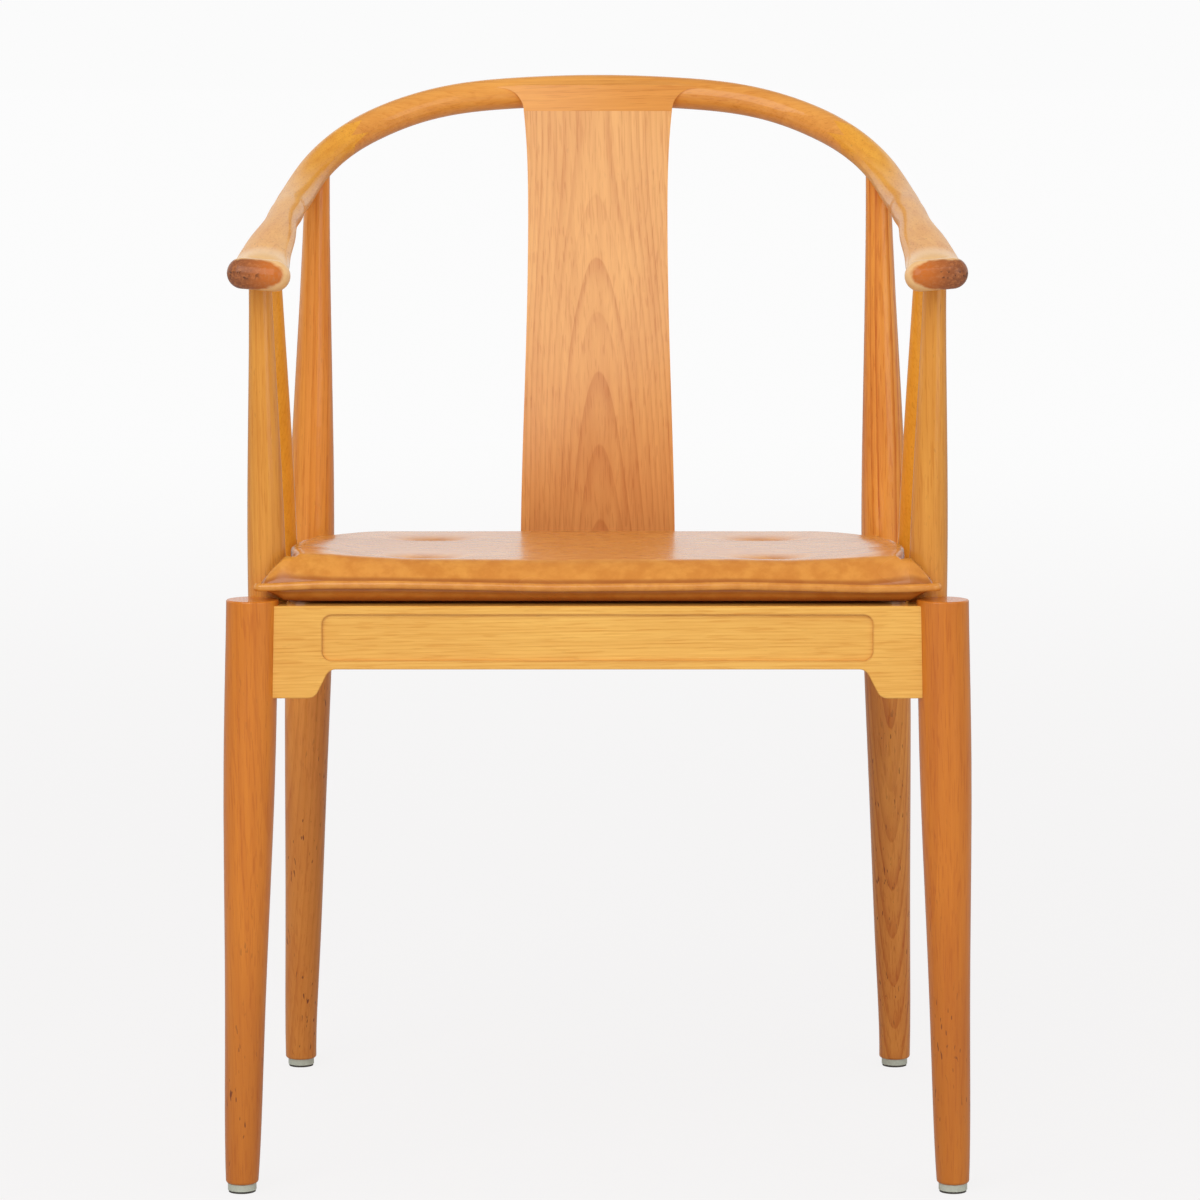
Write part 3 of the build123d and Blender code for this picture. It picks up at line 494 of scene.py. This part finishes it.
def make_mottled(name, light, dark, rough, scale, metal=0.0):
    """A plain finish with a fine mottle, as zinc or moulded plastic has."""
    material, tree, shader = new_material(name)
    mottle = noise(tree, place_of(tree)[0], scale, 3.0, 0.6)
    tree.links.new(mix(tree, mottle, srgb(*dark), srgb(*light)), shader.inputs["Base Color"])
    tree.links.new(calc(tree, "MULTIPLY_ADD", mottle, 0.15, rough), shader.inputs["Roughness"])
    shader.inputs["Metallic"].default_value = metal
    return material


bare_wood = make_bare_wood()
zinc = make_mottled("zinc_plate", (196, 196, 190), (150, 148, 140), 0.30, 900.0, 1.0)
glide_shell = make_mottled("glide_base_plastic", (206, 212, 198), (176, 178, 162), 0.30, 500.0)
glide_sole = make_mottled("glide_pad_plastic", (84, 78, 72), (54, 50, 46), 0.55, 700.0)
print("plain materials:", [made.name for made in (bare_wood, zinc, glide_shell, glide_sole)])

# %% [markdown]
# ## Dressing the construction model
#
# Every node of the construction model gets the material of its kind. The name of a
# node says what it is, so the first matching start of a name decides.

# %% Give each node its finish
finishes = [
    ("front_leg", wood["leg"]), ("rear_leg_right", wood["figured_leg"]),
    ("rear_leg", wood["rear_leg"]), ("arm_post", wood["post"]),
    ("arm_spindle", wood["spindle"]), ("arm_rail", wood["arm"]), ("crest_rail", wood["crest"]),
    ("back_splat", wood["splat"]), ("front_seat_rail", wood["front_rail"]),
    ("rear_seat_rail", wood["rear_rail"]), ("side_seat_rail", wood["side_rail"]),
    ("seat_panel", bare_wood), ("corner_block_screws", zinc), ("batten_screws", zinc),
    ("panel_screws", zinc), ("glide_nails", zinc), ("corner_block", bare_wood),
    ("panel_batten", bare_wood), ("glide_base", glide_shell), ("glide_pad", glide_sole),
]
for name, node in nodes.items():
    for start, material in finishes:
        if name.startswith(start):
            node.data.materials.clear()
            node.data.materials.append(material)
            break
print("dressed nodes:", sum(1 for n in nodes.values() if n.data.materials))

# %% [markdown]
# ## The cushion's plan
#
# The cushion is loose, and fills the seat. Its front corners reach out over the tops
# of the legs as two small ears, and behind each ear it is notched round the arm
# post. All its pieces follow one outline: the welt runs along it, and both leather
# covers are sewn to the welt just inside it. So the outline is written once, for the
# right half, and each piece asks for it at its own inset.
#
# The seat slopes down to the rear, so the plan is drawn flat and then laid on the
# slope: the first number goes across, the second back from the front legs' line,
# and the third up from the seat.

# %% The outline, its inset and its rounded corners
seat_front = Vector((0, -0.251, 0.4375))
seat_slope = math.atan2(-0.012, 0.409)
on_seat = Matrix.Translation(seat_front) @ Matrix.Rotation(seat_slope, 4, "X")
half_plan = [(0, -0.013), (0.2530, -0.0135), (0.2455, 0.0118), (0.2285, 0.0118),
             (0.2285, 0.0473), (0.2308, 0.0560), (0.2308, 0.3838), (0, 0.3838)]
corner_round = [0.0, 0.004, 0.005, 0.004, 0.010, 0.010, 0.014, 0.0]


def moved_in(points, inset):
    """The half outline with each edge moved in; its ends stay on the middle line."""
    moved = []
    for index, point in enumerate(points):
        here = Vector(point)
        if index == 0 or index == len(points) - 1:
            moved.append(here + Vector((0, inset if index == 0 else -inset)))
            continue
        before = (here - Vector(points[index - 1])).normalized()
        after = (Vector(points[index + 1]) - here).normalized()
        inward = Vector((-before.y, before.x)) + Vector((-after.y, after.x))
        inward.normalize()
        share = max(inward.dot(Vector((-before.y, before.x))), 0.3)
        moved.append(here + inward * inset / share)
    return moved


def outline(inset, spacing):
    """The closed outline, both halves, as evenly spaced points with rounded corners."""
    points = moved_in(half_plan, inset)
    line = [points[0]]
    for index in range(1, len(points) - 1):
        here = points[index]
        to_last = (points[index - 1] - here).normalized()
        to_next = (points[index + 1] - here).normalized()
        reach = corner_round[index]
        for part in range(9):
            share = part / 8
            line.append(here + to_last * reach * (1 - share) ** 2 + to_next * reach * share ** 2)
    line.append(points[-1])
    line = np.array([tuple(point) for point in line])
    length = np.r_[0, np.cumsum(np.hypot(*np.diff(line, axis=0).T))]
    count = int(round(length[-1] / spacing))
    even = np.linspace(0, length[-1], count + 1)
    right = np.c_[np.interp(even, length, line[:, 0]), np.interp(even, length, line[:, 1])]
    left = right[-2:0:-1] * (-1, 1)
    return np.vstack([right, left])


seam = outline(0.0034, 0.0040)
print("points round the seam:", len(seam))

# %% [markdown]
# ## The leather covers
#
# A cushion's cover is two sheets sewn together at the seam and blown up by the
# filling. A sculpted block would be quicker, but it would show none of the small
# puckers that pull in from the seam. So each cover starts as an even mesh of small
# triangles over the plan. It is lifted to the shape of the filled cushion: a firm
# roll at the edge, a flatter middle that is thinner toward the back, and four dimples
# where ties pull it down. Each point also stores how near the seam it is, so the
# leather's shader can paint shade in the fold along the stitches.

# %% An even mesh over the plan
def distance_to(points, line):
    """Distance from each point to the closed line."""
    start, end = line, np.roll(line, -1, axis=0)
    best = np.full(len(points), 9.0)
    for a, b in zip(start, end):
        along = b - a
        share = np.clip(((points - a) @ along) / (along @ along), 0, 1)
        best = np.minimum(best, np.hypot(*(points - a - share[:, None] * along).T))
    return best


def inside(points, line):
    """True for each point within the closed line."""
    x, y = points[:, 0], points[:, 1]
    odd = np.zeros(len(points), bool)
    for (ax, ay), (bx, by) in zip(line, np.roll(line, -1, axis=0)):
        crosses = (ay > y) != (by > y)
        if ay != by:
            odd ^= crosses & (x < (bx - ax) * (y - ay) / (by - ay) + ax)
    return odd


def plan_mesh(spacing):
    """Even triangles over the seam's outline: plan points, triangles and edge gap."""
    rows = []
    low, high = seam.min(axis=0), seam.max(axis=0)
    for row, y in enumerate(np.arange(low[1], high[1], spacing * 0.866)):
        start = low[0] + (row % 2) * spacing / 2
        xs = np.arange(start, high[0], spacing)
        rows.append(np.c_[xs, np.full(len(xs), y)])
    grid = np.vstack(rows)
    grid = grid[inside(grid, seam)]
    grid = grid[distance_to(grid, seam) > spacing * 0.6]
    points = [Vector(point) for point in np.vstack([seam, grid]).tolist()]
    loop = [(index, (index + 1) % len(seam)) for index in range(len(seam))]
    found = geometry.delaunay_2d_cdt(points, loop, [], 1, 1e-7)
    plan = np.array([tuple(point) for point in found[0]])
    return plan, found[2], distance_to(plan, seam)


plan, triangles, edge_gap = plan_mesh(0.0040)
print("plan mesh:", len(plan), "points", len(triangles), "triangles")

# %% The filled shape
tufts = [(-0.131, 0.064), (0.127, 0.064), (-0.131, 0.292), (0.129, 0.292)]
seam_rise, front_crown, rear_crown = 0.014, 0.0322, 0.0268
wave_at = (-0.26, -0.235, -0.205, -0.15, -0.095, -0.035, 0.015,
           0.06, 0.10, 0.158, 0.197, 0.225, 0.26)
wave_rise = (-0.9, -0.2, 1.4, 1.5, 0.5, -0.8, -0.5, -0.1, 0.7, -0.6, -1.6, -1.2, 0.2)
ridge_at = (0.150, 0.200, 0.232, 0.239, 0.2461, 0.2496)
ridge_rise = (0.0322, 0.0345, 0.0365, 0.0300, 0.0225, 0.0165)
notch_side, notch_front, seam_front, seam_back = 0.2251, 0.0084, -0.0096, 0.3804
dish_deep, dish_wide, dimple_deep, dimple_wide = 0.0020, 0.042, 0.0068, 0.018
roll_wide, lip_wide, post_back = 0.014, 0.005, 0.03
side_at, side_rise = (0.04, 0.10, 0.20, 0.28, 0.36), (0.0385, 0.0370, 0.0325, 0.0275, 0.0235)


def drop(share, firm=1.7):
    """How far an edge has fallen: 1 at the seam, and 0 from a share of 1 on."""
    return np.clip(1 - share, 0, 1) ** firm


def waved(points):
    """The seam's own wander along the front edge, fading out toward the back."""
    rise = np.interp(points[:, 0], wave_at, wave_rise) * 0.001
    return rise * np.clip(1 - (points[:, 1] + 0.013) / 0.10, 0, 1)


def crown(points, gap):
    """Height of the top cover above the seat."""
    x, y = np.abs(points[:, 0]), points[:, 1]
    ridge = np.interp(x + 0.30 * (y - seam_front), ridge_at, ridge_rise)
    body = np.interp(y, (0.0, 0.38), (front_crown, rear_crown))
    level = ridge + (body - ridge) * np.clip((y - 0.02) / 0.09, 0, 1)
    puff = np.clip((x - 0.170) / 0.045, 0, 1) ** 2 * np.clip((y - 0.005) / 0.03, 0, 1)
    level += (np.interp(y, side_at, side_rise) - level) * puff
    front_reach = np.interp(x, (0.195, 0.228), (0.024, 0.015))
    beside = np.where(y > post_back, gap, np.maximum(notch_side - x, 0))
    side = np.hypot(beside / roll_wide, np.maximum(notch_front - y, 0) / 0.006)
    falls = [drop((y - seam_front) / front_reach, 1.5), drop(side, 7.0),
             drop((seam_back - y) / 0.016, 3.0)]
    fallen = np.minimum(np.sqrt(sum(fall ** 2 for fall in falls)), 1)
    fallen = np.maximum(fallen, drop(gap / lip_wide))
    height = seam_rise + waved(points) + (level - seam_rise) * (1 - fallen)
    for tuft_x, tuft_y in tufts:
        away = np.hypot((points[:, 0] - tuft_x) / 1.25, y - tuft_y)
        dent = dish_deep * np.exp(-(away / dish_wide) ** 2)
        dent += dimple_deep * np.exp(-(away / dimple_wide) ** 2)
        height -= dent * (1 - fallen)
    return height


def base(points, gap):
    """Height of the bottom cover: flat on the seat, lifted in front and over the legs."""
    x, y = np.abs(points[:, 0]), points[:, 1]
    rise = seam_rise - 0.001 + waved(points)
    lift = np.clip(x - 0.229, 0, 0.006) * 0.7 + np.clip(x - 0.235, 0, 1) * 0.45
    lift += 0.0014 * np.clip((0.045 - y) / 0.03, 0, 1)
    low = np.minimum(0.0008 + lift, rise - 0.001)
    beside = np.where(y > post_back, gap, np.maximum(notch_side - x, 0))
    side = np.hypot(beside / roll_wide, np.maximum(notch_front - y, 0) / 0.005)
    fallen = np.maximum(drop((y - seam_front) / 0.013, 1.6), drop(side, 1.5))
    fallen = np.maximum(fallen, drop(gap / lip_wide, 1.5))
    return rise - (rise - low) * (1 - fallen)


def bulged(points, gap):
    """Pushes the side walls out a little above the seam."""
    share = np.clip(gap / roll_wide, 0, 1)
    push = 0.0055 * 4 * share * (1 - share) * np.clip((np.abs(points[:, 0]) - 0.20) / 0.012, 0, 1)
    push *= np.clip((points[:, 1] - 0.012) / 0.02, 0, 1)
    return np.c_[points[:, 0] + np.sign(points[:, 0]) * push, points[:, 1]]


top_height, base_height = crown(plan, edge_gap), base(plan, edge_gap)
top_height[:len(seam)] = seam_rise + waved(seam)
print("crown:", round(top_height.max(), 4), "base:", round(base_height.min(), 4))

# %% Both covers as one closed mesh
def new_object(name, contents):
    """Put a mesh, a lamp or a camera into the scene as an object of its own."""
    piece = bpy.data.objects.new(name, contents)
    bpy.context.scene.collection.objects.link(piece)
    return piece


def covers():
    """Top and bottom cover, joined along the seam, which is kept as a line."""
    count, rim = len(plan), len(seam)
    lower = [index if index < rim else count + index - rim for index in range(count)]
    points = [tuple(on_seat @ Vector((x, y, z)))
              for (x, y), z in zip(bulged(plan, edge_gap), top_height)]
    points += [tuple(on_seat @ Vector((x, y, z)))
               for (x, y), z in zip(plan[rim:], base_height[rim:])]
    faces = [tuple(face) for face in triangles]
    faces += [tuple(lower[index] for index in reversed(face)) for face in triangles]
    mesh = bpy.data.meshes.new("cushion_cover")
    mesh.from_pydata(points, [], faces)
    stored = mesh.attributes.new("seam_near", "FLOAT", "POINT")
    stored.data.foreach_set("value", 0.02 - np.r_[edge_gap, edge_gap[rim:]])
    return new_object("cushion_cover", mesh)


cushion = covers()
print("cushion cover:", len(cushion.data.vertices), "points")

# %% [markdown]
# ## Leather
#
# The cushion's leather is smooth, tanned the colour of the wood, and lightly
# finished, so it shines at a low angle. Two things make it leather and not paint:
# a fine pebble grain and a slow mottle of the dye. A darker line is painted in the
# fold along the seam as shade, and the underside is painted dark brown toward the
# seat as the shade under the cushion's overhang.

# %% Material: leather
seat_level = 0.4302


def make_leather():
    """Smooth tan leather with a thin finish."""
    material, tree, shader = new_material("saddle_leather")
    where, parts = place_of(tree)
    mottle = noise(tree, where, 75.0, 4.0, 0.6)
    clouds = noise(tree, where, 9.0, 2.0)
    colour = mix(tree, step(tree, mottle, 0.32, 0.70), srgb(213, 134, 46), srgb(233, 159, 66))
    clouded = calc(tree, "MULTIPLY", step(tree, clouds, 0.35, 0.7), 0.3)
    colour = mix(tree, clouded, colour, srgb(222, 138, 58))
    # Painted shade: a line along the seam's fold is painted darker, as the shade in the crease.
    near = add(tree, "ShaderNodeAttribute", {"attribute_name": "seam_near"}).outputs["Fac"]
    fold_shade = calc(tree, "MULTIPLY", step(tree, near, 0.0140, 0.0165), 0.6)
    colour = mix(tree, fold_shade, colour, srgb(150, 72, 18))
    # Painted shade: the leather is painted dark brown toward the seat, as the shade under the
    # cushion's overhang.
    seat = calc(tree, "MULTIPLY_ADD", parts[1], -seat_fall, seat_level)
    above = calc(tree, "SUBTRACT", parts[2], seat)
    under_shade = calc(tree, "SUBTRACT", 1.0, step(tree, above, 0.001, 0.0125))
    colour = mix(tree, calc(tree, "MULTIPLY", under_shade, 0.8), colour, srgb(140, 56, 6))
    tree.links.new(colour, shader.inputs["Base Color"])
    pebble = add(tree, "ShaderNodeTexVoronoi", {"feature": "DISTANCE_TO_EDGE"},
                 Vector=where, Scale=900.0)
    grain = calc(tree, "MINIMUM", calc(tree, "MULTIPLY", pebble.outputs["Distance"], 3.0), 0.5)
    grain = calc(tree, "ADD", grain, calc(tree, "MULTIPLY", noise(tree, where, 260.0, 3.0), 0.4))
    relief = add(tree, "ShaderNodeBump", Strength=0.006, Distance=0.0003, Height=grain)
    tree.links.new(relief.outputs[0], shader.inputs["Normal"])
    dull = calc(tree, "MULTIPLY_ADD", clouds, 0.05, 0.24)
    tree.links.new(dull, shader.inputs["Roughness"])
    shader.inputs["IOR"].default_value = 1.5
    shader.inputs["Coat Weight"].default_value = 0.3
    shader.inputs["Coat Roughness"].default_value = 0.2
    return material


leather = make_leather()
cushion.data.materials.append(leather)
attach(cushion, "cushion")
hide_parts("cushion_top_leather", "cushion_bottom_leather", "cushion_core")
for polygon in cushion.data.polygons:
    polygon.use_smooth = True
print("leather:", leather.name, len(leather.node_tree.nodes), "nodes")

# %% [markdown]
# ## The welt
#
# The welt is a cord in its own strip of leather, sewn between the covers. It is a
# closed tube swept along the outline. A curve object with a bevel would do it too,
# but a mesh made point by point is closed, and can be a little taller than it is
# deep.

# %% Sweep the welt
def sweep(name, line, deep, tall, sides):
    """A closed tube along a closed line of points in the seat's coordinates."""
    made = bmesh.new()
    count = len(line)
    rings = []
    for index in range(count):
        here = Vector(line[index])
        along = (Vector(line[(index + 1) % count]) - Vector(line[index - 1])).normalized()
        out = along.cross(Vector((0, 0, 1))).normalized()
        up = out.cross(along).normalized()
        ring = []
        for side in range(sides):
            turn = 2 * math.pi * side / sides
            spot = here + out * math.cos(turn) * deep + up * math.sin(turn) * tall
            ring.append(made.verts.new(on_seat @ spot))
        rings.append(ring)
    for index in range(count):
        first, second = rings[index], rings[(index + 1) % count]
        for side in range(sides):
            after = (side + 1) % sides
            made.faces.new((first[side], second[side], second[after], first[after])).smooth = True
    bmesh.ops.recalc_face_normals(made, faces=made.faces)
    mesh = bpy.data.meshes.new(name)
    made.to_mesh(mesh)
    made.free()
    return new_object(name, mesh)


welt_plan = outline(0.0029, 0.003)
welt_line = [(x, y, seam_rise + rise) for (x, y), rise in zip(welt_plan, waved(welt_plan))]
welt = sweep("cushion_welt_cord", welt_line, 0.0026, 0.0029, 16)
welt.data.materials.append(leather)
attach(welt, "cushion")
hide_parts("cushion_welt")
print("welt:", len(welt_line), "rings")

# %% [markdown]
# ## The ties
#
# Four waxed threads inside the cushion pull the covers together at the dimples. They
# end just under the leather, so they don't show. Each is two strands laid round each
# other: a point that goes round while it rises draws a strand, and a thin tube along
# it gives it body.

# %% Twisted threads with their knots
def tie(made, across, back, low, high):
    """Two strands wound round each other, ending in a wider knot below."""
    turns, steps, sides = 5, 44, 8
    reach, half_thick = 0.0004, 0.0005
    circle = [2 * math.pi * side / sides for side in range(sides)]
    for strand in range(2):
        rings = []
        for index in range(steps + 1):
            share = index / steps
            turn = 2 * math.pi * turns * share + strand * math.pi
            knot = 1 + 1.6 * math.exp(-(share / 0.05) ** 2)
            thick = half_thick * (1 if 0 < index < steps else 0.3) * knot
            here = Vector((across + reach * knot * math.cos(turn),
                           back + reach * knot * math.sin(turn), low + (high - low) * share))
            ring = [here + Vector((math.cos(t), math.sin(t), 0)) * thick for t in circle]
            rings.append([made.verts.new(on_seat @ spot) for spot in ring])
        for first, second in zip(rings, rings[1:]):
            for side in range(sides):
                after = (side + 1) % sides
                face = made.faces.new((first[side], first[after], second[after], second[side]))
                face.smooth = True
        made.faces.new(list(reversed(rings[0])))
        made.faces.new(rings[-1])


def make_thread():
    """Waxed linen thread, lighter and darker along its lay."""
    material, tree, shader = new_material("waxed_thread")
    lay = noise(tree, stretched(tree, place_of(tree)[0], 0.3), 1800.0, 2.0)
    tone = mix(tree, lay, srgb(150, 92, 44), srgb(196, 134, 76))
    tree.links.new(tone, shader.inputs["Base Color"])
    tree.links.new(calc(tree, "MULTIPLY_ADD", lay, 0.2, 0.45), shader.inputs["Roughness"])
    return material


strands = bmesh.new()
for tuft_x, tuft_y in tufts:
    nearest = np.argmin(np.hypot(plan[:, 0] - tuft_x, plan[:, 1] - tuft_y))
    tie(strands, tuft_x, tuft_y, 0.0016, top_height[nearest] - 0.0035)
tie_mesh = bpy.data.meshes.new("cushion_ties")
strands.to_mesh(tie_mesh)
strands.free()
ties = new_object("cushion_ties", tie_mesh)
ties.data.materials.append(make_thread())
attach(ties, "cushion")
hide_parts("cushion_tuft_ties")
print("ties:", len(tufts))

# %% [markdown]
# ## The stage
#
# A studio sweep: a pale floor that runs on far behind the chair, and a white room.
# The camera and the gloss see the room as almost white, while the light that falls
# on the chair comes from a softer dome and two large lamps in front of it. The floor
# keeps the chair's shadow, as faint as it is under such even light.

# %% Floor
def make_floor():
    """A matt floor that keeps shadows and looks nearly white to the camera."""
    material, tree, shader = new_material("studio_floor")
    where, parts = place_of(tree)
    fade = step(tree, parts[1], 0.4, 6.5)
    tone = mix(tree, fade, srgb(252, 251, 251), srgb(252, 252, 252))
    fine = noise(tree, where, 60.0, 3.0)
    tone = mix(tree, calc(tree, "MULTIPLY", fine, 0.01), tone, srgb(200, 198, 196))
    lit = mix(tree, 1.0, tone, srgb(206, 205, 204), "MULTIPLY")
    tree.links.new(lit, shader.inputs["Base Color"])
    shader.inputs["Roughness"].default_value = 0.9
    shader.inputs["Specular IOR Level"].default_value = 0.0
    glow = add(tree, "ShaderNodeEmission", Color=tone, Strength=1.0)
    seen = add(tree, "ShaderNodeLightPath").outputs["Is Camera Ray"]
    share = calc(tree, "MULTIPLY", seen, calc(tree, "MULTIPLY_ADD", fade, 0.12, 0.88))
    mixed = add(tree, "ShaderNodeMixShader", Fac=share)
    tree.links.new(shader.outputs[0], mixed.inputs[1])
    tree.links.new(glow.outputs[0], mixed.inputs[2])
    tree.links.new(mixed.outputs[0], tree.nodes["Material Output"].inputs["Surface"])
    return material


def make_sheet(name, corners):
    """One flat face through the given corners."""
    made = bpy.data.meshes.new(name)
    made.from_pydata(corners, [], [tuple(range(len(corners)))])
    return new_object(name, made)


floor = make_sheet("studio_floor", [(-40, -12, 0), (40, -12, 0), (40, 120, 0), (-40, 120, 0)])
floor.data.materials.append(make_floor())
print("floor:", floor.name)

# %% Room light and lamps
world = bpy.data.worlds.new("studio")
bpy.context.scene.world = world
world.use_nodes = True
room = world.node_tree
background = room.nodes["Background"]
path = add(room, "ShaderNodeLightPath").outputs
heading = add(room, "ShaderNodeTexCoord").outputs["Generated"]
toward = add(room, "ShaderNodeSeparateXYZ", Vector=heading).outputs
white, dim = (0.965, 0.965, 0.965, 1), (0.16, 0.16, 0.16, 1)
backdrop = calc(room, "MULTIPLY", step(room, toward[1], -0.35, 0.25),
                step(room, toward[2], 0.72, 0.38))
gloss_sees = mix(room, backdrop, dim, white)
dome = mix(room, step(room, toward[2], -0.2, 0.9), (0.30, 0.30, 0.30, 1), (0.72, 0.72, 0.72, 1))
gloss = calc(room, "MAXIMUM", path["Is Glossy Ray"], path["Is Transmission Ray"])
room.links.new(mix(room, path["Is Camera Ray"], mix(room, gloss, dome, gloss_sees), white),
               background.inputs["Color"])


def lamp(name, place, target, size, power):
    """A soft square lamp that looks at a point."""
    light = bpy.data.lights.new(name, "AREA")
    light.shape = "SQUARE"
    light.size = size
    light.energy = power
    holder = new_object(name, light)
    holder.location = place
    holder.rotation_euler = (Vector(target) - Vector(place)).to_track_quat("-Z", "Y").to_euler()


lamp("key", (-1.3, -3.0, 2.5), (0, 0, 0.45), 3.0, 66)
lamp("fill", (2.4, -2.8, 1.6), (0, 0, 0.45), 2.4, 24)
print("lamps:", sorted(light.name for light in bpy.data.lights))

# %% [markdown]
# ## Camera and level
#
# A long lens from a little above the seat, so that the legs stay upright and the two
# sides of the chair match. The view is set to Standard, which shows each colour as
# it was chosen.

# %% Camera
view = bpy.data.cameras.new("view")
view.lens = 137.85
view.sensor_width = 36
camera = new_object("view", view)
camera.location = (0.0018, -3.5819, 0.8337)
camera.rotation_euler = (math.radians(83.275), 0, 0)
bpy.context.scene.camera = camera
bpy.context.scene.view_settings.view_transform = "Standard"
print("camera:", camera.name, "with a lens of", view.lens, "mm")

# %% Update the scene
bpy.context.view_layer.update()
